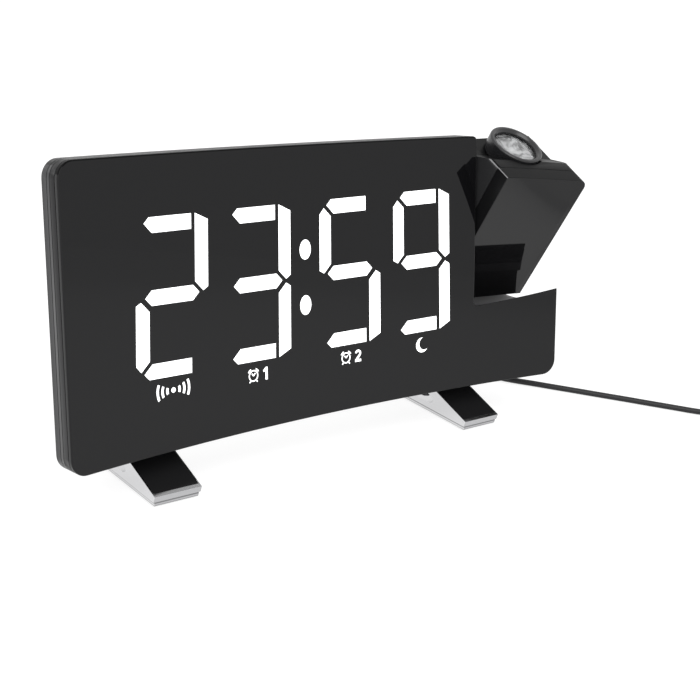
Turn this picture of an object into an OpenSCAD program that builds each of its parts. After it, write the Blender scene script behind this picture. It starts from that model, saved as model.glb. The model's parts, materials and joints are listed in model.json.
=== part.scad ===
// Projection alarm clock: a concave L-shaped display case on two V-shaped feet,
// with a projector arm that swivels in the cut-out at its right end.
// The case is drawn upright: X to the right, Y to the rear, Z up, with the
// bottom edge of the front at z = 0. in_case() leans it back onto the table.

/* [Case] */
// Width across the front
case_w = 190; // [186:0.5:196]
// Height of the front
case_h = 84.4; // [83:0.2:88]
// Depth of the concave curve of the front
sag = 8.8; // [6:0.1:10]
// Radius of the outer corners
corner_r = 5; // [3:0.5:7]
// Backward lean on the table, degrees
lean = 10; // [7:0.5:13]
// Thickness of the front lens
lens_t = 1.8; // [1.4:0.1:2.2]
// Polished edge step of the lens
lens_edge = 0.4; // [0.2:0.1:0.6]
// Visible edge of the front shell
bezel_t = 1.8; // [1.4:0.1:2.4]
// Shadow gap between the two shells
seam = 0.3; // [0.2:0.1:0.5]
// Visible edge of the rear shell
rear_rim_t = 4.8; // [4:0.2:6]
// Wall thickness of the case
wall = 2; // [1.6:0.1:2.4]
// Clearance between parts that drop in
fit = 0.3; // [0.2:0.05:0.4]

/* [Rear box] */
// Rear face of the box, from the front's bottom corners
box_y = 32; // [31:0.5:36]
// Drop of the box's top below the case's top
box_drop = 4.9; // [4.4:0.1:5.4]
// Underside of the box
box_bottom = 5; // [4:0.2:5.6]
// Inset of the box's left side from the case's left edge
box_in_left = 11; // [9:0.5:13]
// How far the box's sides draw in towards the rear
box_taper = 10; // [8:0.5:12]
// Inset of the box's right side from the case's right edge
box_in_right = 1; // [0.8:0.1:1.6]
// Chamfer of the box's rear edges
box_edge = 3; // [2:0.2:3.4]
// Rounding of the rear rim
rim_r = 2.2; // [1:0.1:3]

/* [Projector arm] */
// Width of the cut-out for the arm
arm_bay = 35.5; // [35:0.1:36.5]
// Gap between the arm and the case
arm_gap = 0.8; // [0.8:0.05:1.1]
// Pivot axis, from the front's bottom corners
pivot_y = 18.6; // [18:0.2:19]
// Pivot axis, from the front's bottom edge
pivot_z = 57.1; // [56.5:0.1:58]
// Radius of the arm's rolled bottom about the pivot
arm_r = 30.7; // [30:0.1:31]
// Radius of the cradle under the arm
cradle_r = 32.3; // [32:0.1:33]
// Rounding of the cradle's inner corner
cradle_corner = 1.5; // [1:0.1:1.5]
// Rear face of the arm
arm_rear = 31; // [30.6:0.1:31.6]
// Forward tilt of the arm as it stands
arm_tilt = 35.3; // [0:0.1:60]
// Depth of the arm's glossy front shell
arm_front_t = 5.3; // [4.6:0.1:6]
// Depth of the arm's top ledge
ledge_t = 9.4; // [8.6:0.2:10]
// Depth at which the ledge's slope meets the lens platform
slope_t = 17.5; // [16:0.5:19]
// Drop of the lens platform below the arm's top
platform_drop = 4.6; // [4.2:0.1:5]
// Wall thickness of the arm
arm_wall = 1.8; // [1.5:0.1:2]
// Radius of the arm's outer top corner
arm_corner = 3; // [2:0.2:3.4]
// Radius of the arm's top corner beside the case
arm_corner_in = 1.4; // [1:0.2:2]

/* [Projector lens] */
// Lens axis, from the arm's right side
optic_in = 18; // [17.4:0.1:18.6]
// Clearance between the lens barrel and the arm's rear wall
barrel_gap = 0.3; // [0.2:0.1:0.6]
// Radius of the focus ring
ring_r = 9.6; // [9.3:0.1:9.8]
// Rise of the focus ring above the arm's top
ring_rise = 0.9; // [0.6:0.1:1.6]
// Radius of the ring's opening
ring_hole_r = 7.5; // [7.45:0.05:7.7]
// Rounding of the focus ring's outer edge
ring_edge = 0.6; // [0.3:0.1:0.8]
// Outer radius of the lens barrel
barrel_r = 8.2; // [8.1:0.05:8.25]
// Wall of the lens barrel
barrel_wall = 0.5; // [0.4:0.05:0.55]

/* [Hinge] */
// Radius of the hollow axle
axle_r = 4; // [3.4:0.1:4.4]
// Radius of the wire way through the axle
axle_bore_r = 2.6; // [2:0.1:2.8]
// Wall of the hinge bush
bush_wall = 2; // [1.6:0.1:2.2]
// Running clearance of the axle
running = 0.05; // [0.03:0.01:0.08]

/* [Display] */
// Left edges of the four digits, as shares of the display's width
digit_at = [0.1518, 0.3563, 0.5891, 0.7808];
// Widths of the four digits, as shares of the display's width
digit_share = [0.164, 0.1592, 0.1559, 0.1489];
// Bottom of the digits
digit_z = 21.1; // [20.5:0.1:21.9]
// Top of the digits, from the case's top
digit_drop = 16.9; // [16.3:0.1:17.5]
// How much the digits draw together towards their tops, as a share
digit_fan = 0.025; // [0:0.005:0.03]
// Rise of the row's bottom towards the case's sides
row_bow = 2.4; // [0:0.1:2.8]
// Rise of the row's top towards the case's sides
row_crown = 1.2; // [0:0.1:1.6]
// Climb of the row's top towards the right side
row_climb = 0.8; // [0:0.1:1]
// Width of a level segment
stroke = 4.45; // [4:0.05:4.8]
// Width of an upright segment, as a share of its digit's width
upright = 0.183; // [0.17:0.001:0.19]
// Diagonal step between neighbouring segments
mitre = 1.9; // [1.4:0.1:2.2]
// Middle of the colon, as a share of the display's width
colon_share = 0.5528; // [0.548:0.0004:0.557]
// Thickness of the circuit boards
board_t = 1.6; // [1.2:0.1:1.8]

/* [Feet] */
// Middle of each foot, from the case's side edge
foot_in = 34; // [33:0.5:36]
// Width of a foot
foot_w = 15.8; // [14:0.2:17]
// Length of a foot along the table
foot_len = 45; // [42:0.5:48]
// Front tip of the foot, from the front's bottom corners
tip_y = 3.6; // [3:0.2:5]
// Drop of the front tip below the front's bottom edge
tip_drop = 14.3; // [13.6:0.1:15]
// Rise of the foot's upper leg, degrees
leg_rise = 28.5; // [27.5:0.5:29]
// Thickness of the upper leg
leg_t = 3.2; // [2.8:0.1:3.4]
// Thickness of the lower leg
sole_t = 3.4; // [3:0.1:3.8]
// How far the rubber pads stand proud
pad_proud = 0.4; // [0.3:0.1:0.8]

/* [Controls] */
// Width of a rear key
key_w = 9; // [8:0.2:10]
// Height of a rear key
key_h = 5; // [4.4:0.2:6]
// Travel of a rear key
key_travel = 0.5; // [0.3:0.05:0.6]
// Length of the snooze bar
snooze_len = 58; // [50:1:60]
// Travel of the snooze bar
snooze_travel = 0.7; // [0.5:0.05:0.8]

/* [Cord] */
// Diameter of the cord
cord_d = 2.2; // [2:0.1:2.4]
// Mean radius of the stored coil
coil_r = 13; // [12:0.5:14]
// Turns side by side in the coil
coil_rows = 4; // [4:1:4]

/* [Hidden] */
$fn = 48;
SMOOTH = 720;              // facets of the case's long curves
EPS = 0.01;
FAR = 60;                  // past everything inside the case
SLACK = 0.05;              // between faces that meet

// Edges that follow the case's size
cut_x = case_w / 2 - arm_bay;
box_top = case_h - box_drop;
box_left = case_w / 2 - box_in_left;
box_right = case_w / 2 - box_in_right;
platform_z = case_h - platform_drop;
ring_top = case_h + ring_rise;
optic_x = case_w / 2 - optic_in;
optic_y = arm_rear - arm_wall - barrel_gap - barrel_r;
foot_x = case_w / 2 - foot_in;

// Where the upright case stands on the table
middle_y = 25.7;           // middle of the clock's depth
case_y = -middle_y;
case_z = pad_proud + tip_y * sin(lean) + tip_drop * cos(lean);

// Curve of the front and the depths of its layers
face_r = (case_w * case_w / 4 + sag * sag) / (2 * sag);
face_y = sag - face_r;
bezel_d = lens_t + bezel_t;
rear_d = bezel_d + seam;
rim_d = rear_d + rear_rim_t;
tongue_t = 1.2;
tongue_d = bezel_d + 1.5;
tip_r = 1.5;               // corner where the front meets the cut-out

// Display parts; a block or board is given as left, bottom, right, top
display_w = case_w / 2 + cut_x;
digit_x = [for (share = digit_at) share * display_w - case_w / 2];
digit_w = digit_share * display_w;
digit_h = case_h - digit_drop - digit_z;
colon_x = colon_share * display_w - case_w / 2;
block_edge = 2.4;
block = [digit_x[0] - block_edge - 1, digit_z - block_edge, digit_x[3] + digit_w[3] + block_edge,
    digit_z + digit_h + block_edge];
block_y = 16;
led = [2, 0.8, 1.2];
guide_t = lens_t + 1.2;    // light guides run from the face into the block
segment_gap = mitre / sqrt(2);
nose = 2.8;                // start of the top and bottom segments
nib = 1.7;
heel = 2.1;                // slanted corner of the right segments
LIT = ["abged", "abgcd", "afgcd", "abcdfg"];
ALL_SEGMENTS = ["a", "b", "c", "d", "e", "f", "g"];
bar_share = 0.507;         // height of the middle segment
colon_z = [for (share = [0.319, 0.6875]) digit_z + share * digit_h];
colon_size = [4.3, 6.1];

// Boards behind the display
display_board_y = block_y + board_t;
header = [26, 5];
header_in = 10;
header_t = 5;
main_size = [0.42 * display_w, 42.8];
main_right = cut_x - 8.5;
main_top = case_h - 15.6;
main_board = [main_right - main_size.x, main_top - main_size.y, main_right, main_top];
main_y = display_board_y + header_t;
post_in = 3;
board_post_r = 2.4;
board_screw_r = 1;
board_screw_len = 6;
power_size = [43.4, 15.6];
power_in = 15.6;
power_right = case_w / 2 - power_in;
power_board = [power_right - power_size.x, box_y - 2.4 - power_size.y, power_right, box_y - 2.4];
power_z = 10;

// Keys: columns and rows
key_step = [18, 12];
key_x = [for (i = [0:2]) main_right - 47 + i * key_step.x];
key_z = [for (i = [0:1]) main_top - 22.8 + i * key_step.y];
key_flange = 1;
key_proud = 0.8;
switch_w = 6;
actuator_r = 1.6;
actuator_t = 0.6;
key_back_y = box_y - wall - 1.1;
switch_t = key_back_y - key_travel - 4 * SLACK - actuator_t - board_t - main_y;

// Snooze bar over its switch
snooze_x = key_x[0] - 15;
snooze_y = 23;
snooze_w = 6;
snooze_proud = 1.5;
snooze_switch_x = key_x[0];
snooze_switch_y = main_y - 2;
snooze_switch_z = main_top + 2.2;
snooze_switch_t = 4;
stem_r = 1.2;

// Speaker behind its slots
speaker_in = [29, 24];
speaker_at = [speaker_in.x - box_left, box_top - speaker_in.y];
speaker_r = 12.5;
speaker_t = 6.5;
basket_t = 2.5;
magnet_r = 8.5;
slot_step = 3.2;
slot_w = 1.6;

// Coin cell, its bay and the sliding door
bay_size = [23, 24];
bay_in = 38.5;
bay_left = bay_in - box_left;
bay_low = 9;
bay = [bay_left, bay_low, bay_left + bay_size.x, bay_low + bay_size.y];
bay_y = box_y - 5.5;
door_t = 1.6;
door = [bay[0] - 0.5, bay[1] - 1.6, bay[2] + 0.5, bay[3] + 1];
door_fit = 0.15;
cell_r = 10;
cell_t = 3.2;
cell_z = bay_low + 11.5;
cell_step = [1.5, 0.5];
clip_t = 0.4;
clip_w = 6;
clip_len = 16.5;

// Case screws: x, z
screw_low = 11;
screw_high = box_top - 6.8;
case_screws = [[16 - box_left, screw_low], [16 - box_left, screw_high],
    [cut_x - 9.5, screw_high], [cut_x - 31.5, screw_low]];
post_r = 3.6;
post_y = 22;
boss_r = 2.3;
screw_r = 1.3;
screw_head_r = 2.6;
screw_head_t = 1.8;
screw_len = 11;

// Jacks on the power board
usb_in = 32.8;
usb_x = power_right - usb_in;
usb_w = 13.2;
usb_h = 5.8;
usb_wall = 0.35;
usb_depth = 15;
usb_floor = 3;
usb_tab = [11, 9, 1.9];
jack_in = 5.4;
jack_x = power_right - jack_in;
jack_w = 9;
jack_h = 10.6;
jack_depth = 12;
jack_pin_r = 1;
jack_z = power_z + board_t + 5.4;
jack_bore_r = 2.85;
plug_barrel_r = 2.75;
plug_tip_r = 1.1;
plug_barrel_len = 9.5;

// Hinge stack, from the cut-out inwards
bush_r = axle_r + bush_wall;
hinge_r = axle_r + 3;
bush_flange_t = 1.6;
spring_t = 0.8;
retainer_t = 1;
stack_x = cut_x - wall - bush_flange_t;

// Arm
arm_left = cut_x + arm_gap;
arm_right = case_w / 2;
arm_seam = 0.1;
arm_screw_in = 4.6;
arm_screw_at = [[arm_left + arm_screw_in, pivot_z - 19.1], [arm_right - arm_screw_in, pivot_z - 19.1],
    [arm_right - arm_screw_in, case_h - 14.4]];
arm_post_r = 2.4;
arm_post_y = 16;
ring_fit = 0.6;
ring_bevel = 0.9;
barrel_in_r = barrel_r - barrel_wall;
barrel_low_z = pivot_z - 13.1;
barrel_top_z = ring_top - 2.1;
flange_t = 1.2;
cell_out_r = barrel_in_r - running;
lens_seat_z = ring_top - 3;
lens_edge_t = 1.1;
lens_rise = 1.4;

// Foot profile in the case's frame, as Y and Z
sole_rise = lean;
lip_y = tip_y - 1.4;
lip_z = -tip_drop + 3.1;
leg_join_y = 23;
leg_end_y = 30;
notch_r = 1.2;
insert_t = 1;
foot_screw_y = 26.5;
foot_screw_dx = 4;
pad_size = [12, 6, 1.2];

// Cord: the stretch from the plug to the coil, by hand, on the table
plug_len = 18;
relief_len = 9;
plug_end_y = box_y + 0.2 + plug_len + relief_len;
cord_points = [[74, 42, 20.4], [74.2, 48, 18.4], [75, 54, 15.2], [77, 59.5, 11],
    [80.5, 64, 6.8], [85, 66.5, 3.4], [90.5, 66.5, 1.6], [95.5, 63.5, 1.1], [98.5, 58, 1.1],
    [99, 51.5, 1.1], [97.5, 45, 1.1], [95.5, 38.5, 1.1], [94, 32, 1.1], [93.5, 25.5, 1.1],
    [94, 19, 1.1], [96, 12.5, 1.1], [99, 6.5, 1.1], [103, 0.5, 1.1], [108, -5.3, 1.1],
    [113.3, -11.7, 1.1], [118.6, -18, 1.1], [124.3, -24.9, 1.1], [130.1, -31.8, 1.1],
    [135.8, -38.8, 1.1], [141.6, -45.8, 1.1], [147.4, -52.7, 1.1], [151.1, -56.06, 1.1],
    [155.1, -59.69, 1.1]];
coil_at = [150.2, -77.25];
coil_half = coil_rows * cord_d / 2;

// USB plug lying on the coil; the cord loops up to it from the coil's outer turn
usb_relief = [6, 3];       // length and radius at the body
usb_body = [19, 15.2, 8];
usb_shell = [12, 12, 4.5];
usb_shell_wall = 0.35;
tail_low = 2 * coil_half - cord_d / 2;
tail_high = 2 * coil_half + usb_body.z / 2 + 2 * SLACK;
tail_steps = [[5.58, 15.32, 0], [9.33, 13.95, 0.05], [13.09, 12.58, 0.18], [16.14, 10.72, 0.34],
    [18.22, 7.83, 0.52], [19.01, 4.35, 0.7], [18.39, 0.84, 0.85], [16.46, -2.16, 0.96],
    [13.51, -4.17, 1], [11.02, -4.86, 1], [10.02, -4.88, 1]];
tail_points = [for (p = tail_steps) [coil_at.x + p.x, coil_at.y + p.y,
    tail_low + p.z * (tail_high - tail_low)]];
usb_plug_at = tail_points[len(tail_points) - 1];

function to_table(p) = [p.x, p.y * cos(lean) + p.z * sin(lean) + case_y,
    -p.y * sin(lean) + p.z * cos(lean) + case_z];
function face_at(x) = face_y + sqrt(face_r * face_r - x * x);

// ---------- frames ----------

module in_case() translate([0, case_y, case_z]) rotate([-lean, 0, 0]) children();

module in_arm() in_case() translate([0, pivot_y, pivot_z]) rotate([arm_tilt, 0, 0])
    translate([0, -pivot_y, -pivot_z]) children();

// ---------- shared shapes ----------

// An X-Z outline, drawn through from y0 to y1
module slab(y0, y1) translate([0, y1, 0]) rotate([90, 0, 0]) linear_extrude(y1 - y0) children();

// A Y-Z outline, drawn through from x0 to x1
module beam(x0, x1) translate([x0, 0, 0]) rotate([90, 0, 90]) linear_extrude(x1 - x0) children();

// An X-Y outline, drawn through from z0 to z1
module column(z0, z1) translate([0, 0, z0]) linear_extrude(z1 - z0) children();

module rod_x(y, z, r, x0, x1) translate([x0, y, z]) rotate([0, 90, 0]) cylinder(r = r, h = x1 - x0);

module rod_y(x, z, r, y0, y1) translate([x, y1, z]) rotate([90, 0, 0]) cylinder(r = r, h = y1 - y0);

module rod_z(x, y, r, z0, z1) translate([x, y, z0]) cylinder(r = r, h = z1 - z0);

// Rectangle from low to high corner with rounded corners
module round_rect(x0, z0, x1, z1, r) {
    translate([x0 + r, z0]) square([x1 - x0 - 2 * r, z1 - z0]);
    translate([x0, z0 + r]) square([x1 - x0, z1 - z0 - 2 * r]);
    for (x = [x0 + r, x1 - r], z = [z0 + r, z1 - r]) translate([x, z]) circle(r);
}

module box_rect(b, grow = 0) translate([b[0] - grow, b[1] - grow])
    square([b[2] - b[0] + 2 * grow, b[3] - b[1] + 2 * grow]);

// The layer between two depths behind the concave front face
module curve_band(d0, d1) translate([0, face_y, -tip_drop]) difference() {
    cylinder(r = face_r + d1, h = case_h + 2 * tip_drop, $fn = SMOOTH);
    translate([0, 0, -1]) cylinder(r = face_r + d0, h = case_h + 2 * tip_drop + 2, $fn = SMOOTH);
}

// Outline of the case's front, drawn in by an inset
module case_outline(inset = 0) difference() {
    round_rect(-case_w / 2 + inset, inset, case_w / 2 - inset, case_h - inset,
        max(corner_r - inset, 0.6));
    translate([cut_x - inset - tip_r, case_h - inset - tip_r]) difference() {
        square(tip_r + 1);
        circle(tip_r);
    }
}

// The space that the arm swings in: open above the pivot, round below it
module arm_space(inset = 0) difference() {
    beam(cut_x - inset, case_w / 2 + 2) translate([pivot_y, pivot_z]) {
        circle(cradle_r + inset, $fn = 180);
        translate([-FAR, 0]) square([2 * FAR, FAR]);
    }
    cradle_fillet(cut_x - inset, cradle_r + inset);
}

// The rounding where the cradle of radius r meets the wall at x
module cradle_fillet(x, r) intersection() {
    translate([x, pivot_y, pivot_z]) rotate([0, 90, 0]) rotate_extrude($fn = 180)
        polygon(concat([[r + 1, -1], [r + 1, cradle_corner]], [for (i = [0:4]) let (a = 90 * i / 4)
            [r - cradle_corner + cradle_corner * cos(a), cradle_corner - cradle_corner * sin(a)]],
            [[r - cradle_corner, -1]]));
    translate([x - 2, pivot_y - FAR, pivot_z - FAR]) cube([cradle_corner + 3, 2 * FAR, FAR - r / 2]);
}

// A layer of the L-shaped case
module case_layer(inset, d0, d1) difference() {
    intersection() {
        slab(-1, FAR) case_outline(inset);
        curve_band(d0, d1);
    }
    arm_space(inset);
}

// A self-tapping screw along Y with its head to the rear
module screw_y(x, z, y0, head_y) {
    rod_y(x, z, screw_r, y0, head_y);
    difference() {
        rod_y(x, z, screw_head_r, head_y, head_y + screw_head_t);
        for (turn = [0, 90]) translate([x, head_y + screw_head_t, z]) rotate([0, turn, 0])
            cube([0.7, 1.6, 3], center = true);
    }
}

// ---------- display ----------

// Corner points of one segment of a digit w wide
function segment(k, w) = let (h = digit_h, s = stroke, v = upright * w, m = h / 2,
        g = bar_share * h, in = w - v - segment_gap)
    k == "a" ? [[nose, h - nib], [nose + nib, h], [in, h], [in, h - s],
        [nose + s - nib, h - s]]
    : k == "g" ? [[nose + 0.4, g], [nose + 0.4 + s / 2, g + s / 2], [w - nose - 0.4 - s / 2, g + s / 2],
        [w - nose - 0.4, g], [w - nose - 0.4 - s / 2, g - s / 2], [nose + 0.4 + s / 2, g - s / 2]]
    : k == "b" ? [[w - v, h], [w, h - heel], [w, m + nib], [w - nib, m + 0.6],
        [w - v, m + 0.6 + v - nib]]
    : k == "f" ? [[0, m + nib - 0.2], [nib, m + 0.6], [v, m + 0.6 + v - nib],
        [v, h - v - nib + mitre / 2], [nib, h - mitre - 0.6], [0, h - mitre - nib - 0.8]]
    : k == "c" ? [for (p = segment("b", w)) [p.x, h - p.y]]
    : k == "d" ? [for (p = segment("a", w)) [p.x, h - p.y]]
    : [for (p = segment("f", w)) [p.x, h - p.y]];

// The segment's corners on the front, where the row bows and the digits draw together
function on_front(digit, k) = [for (p = segment(k, digit_w[digit])) let (x = digit_x[digit] + p.x,
        side = x / (case_w / 2), share = p.y / digit_h)
    [x * (1 + digit_fan * (0.5 - share)), digit_z + row_bow * side * side
        + share * (digit_h + row_climb * side + (row_crown - row_bow) * side * side)]];

function middle(points) = [for (i = [0, 1]) (min([for (p = points) p[i]])
    + max([for (p = points) p[i]])) / 2];

module segment_shape(digit, k) polygon(on_front(digit, k));

module display_windows(y1) {
    for (digit = [0:3], k = ALL_SEGMENTS) slab(-1, y1) segment_shape(digit, k);
    colon_windows(y1);
}

module colon_windows(y1) slab(-1, y1) for (z = colon_z) translate([colon_x, z])
    polygon([for (i = [0:31]) [colon_size.x / 2 * cos(i * 11.25), colon_size.y / 2 * sin(i * 11.25)]]);

module segment_guides(lit) for (digit = [0:3], k = ALL_SEGMENTS)
    if ((len(search(k, LIT[digit])) > 0) == lit) intersection() {
        slab(-1, block_y - 1) segment_shape(digit, k);
        curve_band(0, guide_t);
    }

module front_lens() color("#1b1b1f") in_case() difference() {
    union() {
        case_layer(lens_edge, 0, lens_edge + EPS);
        case_layer(0, lens_edge, lens_t);
    }
    display_windows(block_y);
}

module segments_lit() color("white") in_case() segment_guides(true);

module segments_unlit() color("#2c2c30") in_case() segment_guides(false);

module colon_dots() color("white") in_case() intersection() {
    colon_windows(block_y);
    curve_band(0, guide_t);
}

module display_block() color("#e9e9e4") in_case() difference() {
    intersection() {
        slab(-1, block_y) box_rect(block);
        curve_band(lens_t + SLACK, FAR);
    }
    display_windows(block_y + 1);
}

module display_leds() color("#f4e9b8") in_case() for (digit = [0:3], k = ALL_SEGMENTS) {
    at = middle(on_front(digit, k));
    translate([at.x - led.x / 2, block_y - led.y, at.y - led.z / 2]) cube(led);
}

module display_pcb() color("#1d5a36") in_case() slab(block_y, display_board_y)
    box_rect([block[0], block[1] - 0.5, block[2], block[3]]);

// ---------- case shells ----------

module front_shell() color("#2a2a2d") in_case() difference() {
    union() {
        case_layer(0, lens_t, bezel_d);
        difference() {
            case_layer(wall + fit, bezel_d - EPS, tongue_d);
            case_layer(wall + fit + tongue_t, lens_t, tongue_d + 1);
        }
        for (s = case_screws) intersection() {
            rod_y(s.x, s.y, boss_r, 0, post_y - 0.1);
            curve_band(lens_t + 0.6, FAR);
        }
    }
    slab(-1, FAR) box_rect(block, fit);
    for (s = case_screws) rod_y(s.x, s.y, screw_r, post_y - screw_len, FAR);
}

// A band of the curved case whose rear edges are rounded by r
module round_band(d0, d1, inset, r) {
    steps = [for (i = [0:4]) 90 * i / 4];
    half = case_w / 2 - inset;
    back = face_at(half) + d1;
    intersection() {
        slab(-1, FAR) case_outline(inset);
        translate([0, face_y, 0]) rotate_extrude($fn = SMOOTH) polygon(concat(
            [[face_r + d0, 0], [face_r + d0, case_h]],
            [for (a = steps) [face_r + d1 - r + r * sin(a), case_h - inset - r + r * cos(a)]],
            [for (a = steps) [face_r + d1 - r + r * cos(a), inset + r - r * sin(a)]]));
        column(0, case_h) polygon(concat([[-half, 0]],
            [for (a = steps) [-half + r - r * cos(a), back - r + r * sin(a)]], [[0, back + FAR]],
            [for (a = steps) [half - r + r * sin(a), back - r + r * cos(a)]], [[half, 0]]));
    }
}

// The rear shell's outer form, or its hollow when drawn in
module shell_form(inset) {
    open = inset > 0 ? 2 : 0;
    difference() {
        union() {
            round_band(rear_d - open, rim_d - inset, inset, max(rim_r - inset, 0.5));
            intersection() {
                column(0, case_h) polygon([[-box_left + inset, 0], [-box_left + inset, 14],
                    [-box_left + box_taper + inset, box_y - inset],
                    [box_right - box_edge - inset, box_y - inset],
                    [box_right - inset, box_y - box_edge - inset], [box_right - inset, 0]]);
                beam(-case_w / 2, case_w / 2) polygon([[0, box_bottom + inset],
                    [box_y - 2 - inset, box_bottom + inset], [box_y - inset, box_bottom + 2 + inset],
                    [box_y - inset, box_top - box_edge - inset],
                    [box_y - box_edge - inset, box_top - inset], [0, box_top - inset]]);
                curve_band(rear_d - open, FAR);
            }
        }
        arm_space(inset);
    }
}

module key_shapes(grow = 0) for (x = key_x, z = key_z) key_outline(x, z, grow);

module key_outline(x, z, grow = 0) round_rect(x - key_w / 2 - grow, z - key_h / 2 - grow,
    x + key_w / 2 + grow, z + key_h / 2 + grow, 1.2);

module board_posts(r, y0, y1) for (x = [main_board[0] + post_in, main_board[2] - post_in],
    z = [main_board[1] + post_in, main_board[3] - post_in]) rod_y(x, z, r, y0, y1);

module rear_shell() color("#242427") in_case() difference() {
    union() {
        difference() {
            shell_form(0);
            shell_form(wall);
        }
        intersection() {
            shell_form(0);
            union() {
                for (s = case_screws) rod_y(s.x, s.y, post_r, post_y, box_y);
                board_posts(board_post_r, main_y + board_t, box_y - wall + EPS);
                rod_y(speaker_at.x, speaker_at.y, speaker_r + 1.5, box_y - wall - basket_t - 0.5,
                    box_y - wall + EPS);
                slab(bay_y - 1.2, box_y - wall + EPS) box_rect(bay, 1.2);
                for (side = [-1, 1], dx = [-foot_screw_dx, foot_screw_dx])
                    rod_z(side * foot_x + dx, foot_screw_y, 3, box_bottom, power_z);
            }
        }
    }
    rod_y(speaker_at.x, speaker_at.y, speaker_r, 0, box_y - wall);
    for (i = [-3:3]) slab(box_y - wall - 1, box_y + 1) speaker_slot(i * slot_step);
    slab(bay_y, box_y) box_rect(bay);
    slab(box_y - door_t - 2 * SLACK, box_y + 1) box_rect([door[0], 0, door[2], door[3]]);
    slab(box_y - wall - 1, box_y + 1) key_shapes(door_fit);
    column(box_top - wall - 1, box_top + 1) round_rect(snooze_x - snooze_len / 2 - door_fit,
        snooze_y - snooze_w / 2 - door_fit, snooze_x + snooze_len / 2 + door_fit,
        snooze_y + snooze_w / 2 + door_fit, 2);
    slab(box_y - wall - 1, box_y + 1) box_rect(usb_outline(), 0.1);
    rod_y(jack_x, jack_z, jack_w / 2, box_y - wall - 1, box_y + 1);
    for (s = case_screws) {
        rod_y(s.x, s.y, screw_r + 0.3, post_y - 1, box_y);
        rod_y(s.x, s.y, screw_head_r + fit, post_y + wall, box_y + 1);
    }
    board_posts(board_screw_r, main_y, box_y - wall - 1);
    for (side = [-1, 1], dx = [-foot_screw_dx, foot_screw_dx])
        rod_z(side * foot_x + dx, foot_screw_y, screw_r, box_bottom - 1, power_z + 1);
    rod_x(pivot_y, pivot_z, bush_r, cut_x - wall - 1, cut_x + 1);
}

function usb_outline() = [usb_x - usb_w / 2, power_z + board_t, usb_x + usb_w / 2,
    power_z + board_t + usb_h];

module speaker_slot(dz) {
    half = sqrt(pow(speaker_r - 2, 2) - dz * dz);
    round_rect(speaker_at.x - half, speaker_at.y + dz - slot_w / 2, speaker_at.x + half,
        speaker_at.y + dz + slot_w / 2, slot_w / 2 - EPS);
}

module rear_screws() color("#9a9a9e") in_case()
    for (s = case_screws) screw_y(s.x, s.y, post_y + wall - screw_len, post_y + wall);

// ---------- boards and what they carry ----------

module main_pcb() color("#1d5a36") in_case() slab(main_y, main_y + board_t) difference() {
    box_rect(main_board);
    for (x = [main_board[0] + post_in, main_board[2] - post_in],
        z = [main_board[1] + post_in, main_board[3] - post_in]) translate([x, z]) circle(screw_r + 0.1);
}

module board_screws() color("#b5b5b8") in_case() {
    board_posts(board_screw_r, main_y, main_y + board_screw_len);
    board_posts(2 * board_screw_r, main_y - 1.2, main_y);
}

module board_header() color("#151517") in_case() slab(display_board_y, main_y)
    translate([main_board[0] + header_in, main_board[1] + header.y]) square(header);

module tact_switches() color("#3a3a3d") in_case() {
    for (x = key_x, z = key_z) {
        slab(main_y + board_t, main_y + board_t + switch_t)
            box_rect([x - switch_w / 2, z - switch_w / 2, x + switch_w / 2, z + switch_w / 2]);
        rod_y(x, z, actuator_r, main_y + board_t + switch_t - EPS,
            main_y + board_t + switch_t + actuator_t);
    }
    slab(main_y - snooze_switch_t, main_y) box_rect([snooze_switch_x - switch_w / 2,
        snooze_switch_z - switch_w, snooze_switch_x + switch_w / 2, snooze_switch_z]);
    rod_z(snooze_switch_x, snooze_switch_y, actuator_r, snooze_switch_z - EPS,
        snooze_switch_z + actuator_t);
}

module power_pcb() color("#1d5a36") in_case() column(power_z, power_z + board_t)
    box_rect(power_board);

module usb_socket() color("#c9c9cc") in_case() {
    b = usb_outline();
    floor_y = box_y - usb_depth + usb_floor;
    difference() {
        slab(box_y - usb_depth, box_y - 2 * SLACK) box_rect(b);
        slab(floor_y, box_y + 1) box_rect(b, -usb_wall);
    }
    translate([usb_x - usb_tab.x / 2, floor_y - EPS, b[3] - 1 - usb_tab.z]) cube(usb_tab);
}

module dc_jack() color("#18181a") in_case() {
    difference() {
        union() {
            translate([jack_x - jack_w / 2, box_y - wall - jack_depth, power_z + board_t])
                cube([jack_w, jack_depth - fit, jack_h]);
            rod_y(jack_x, jack_z, jack_w / 2 - door_fit, box_y - 3, box_y + 0.2);
        }
        rod_y(jack_x, jack_z, jack_bore_r, box_y - jack_depth, box_y + 1);
    }
    rod_y(jack_x, jack_z, jack_pin_r, box_y - jack_depth - EPS, box_y - 3);
}

module speaker() color("#4a4a4e") in_case() {
    basket_y = box_y - wall - basket_t;
    rod_y(speaker_at.x, speaker_at.y, speaker_r - door_fit, basket_y, box_y - wall);
    rod_y(speaker_at.x, speaker_at.y, magnet_r, box_y - wall - speaker_t, basket_y + EPS);
}

// ---------- coin cell ----------

module coin_cell() color("#d4d4d6") in_case() union() {
    x = (bay[0] + bay[2]) / 2;
    rod_y(x, cell_z, cell_r - cell_step.x, bay_y + clip_t, bay_y + clip_t + cell_t);
    rod_y(x, cell_z, cell_r, bay_y + clip_t + cell_step.y, bay_y + clip_t + cell_t);
}

module battery_clip() color("#d9c48a") in_case() {
    x = (bay[0] + bay[2]) / 2;
    slab(bay_y, bay_y + clip_t) box_rect([x - clip_w / 2, bay[1], x + clip_w / 2, bay[1] + clip_len]);
    slab(bay_y, bay_y + clip_w / 2) box_rect([x - clip_w / 2, bay[1], x + clip_w / 2, bay[1] + clip_t]);
}

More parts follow.
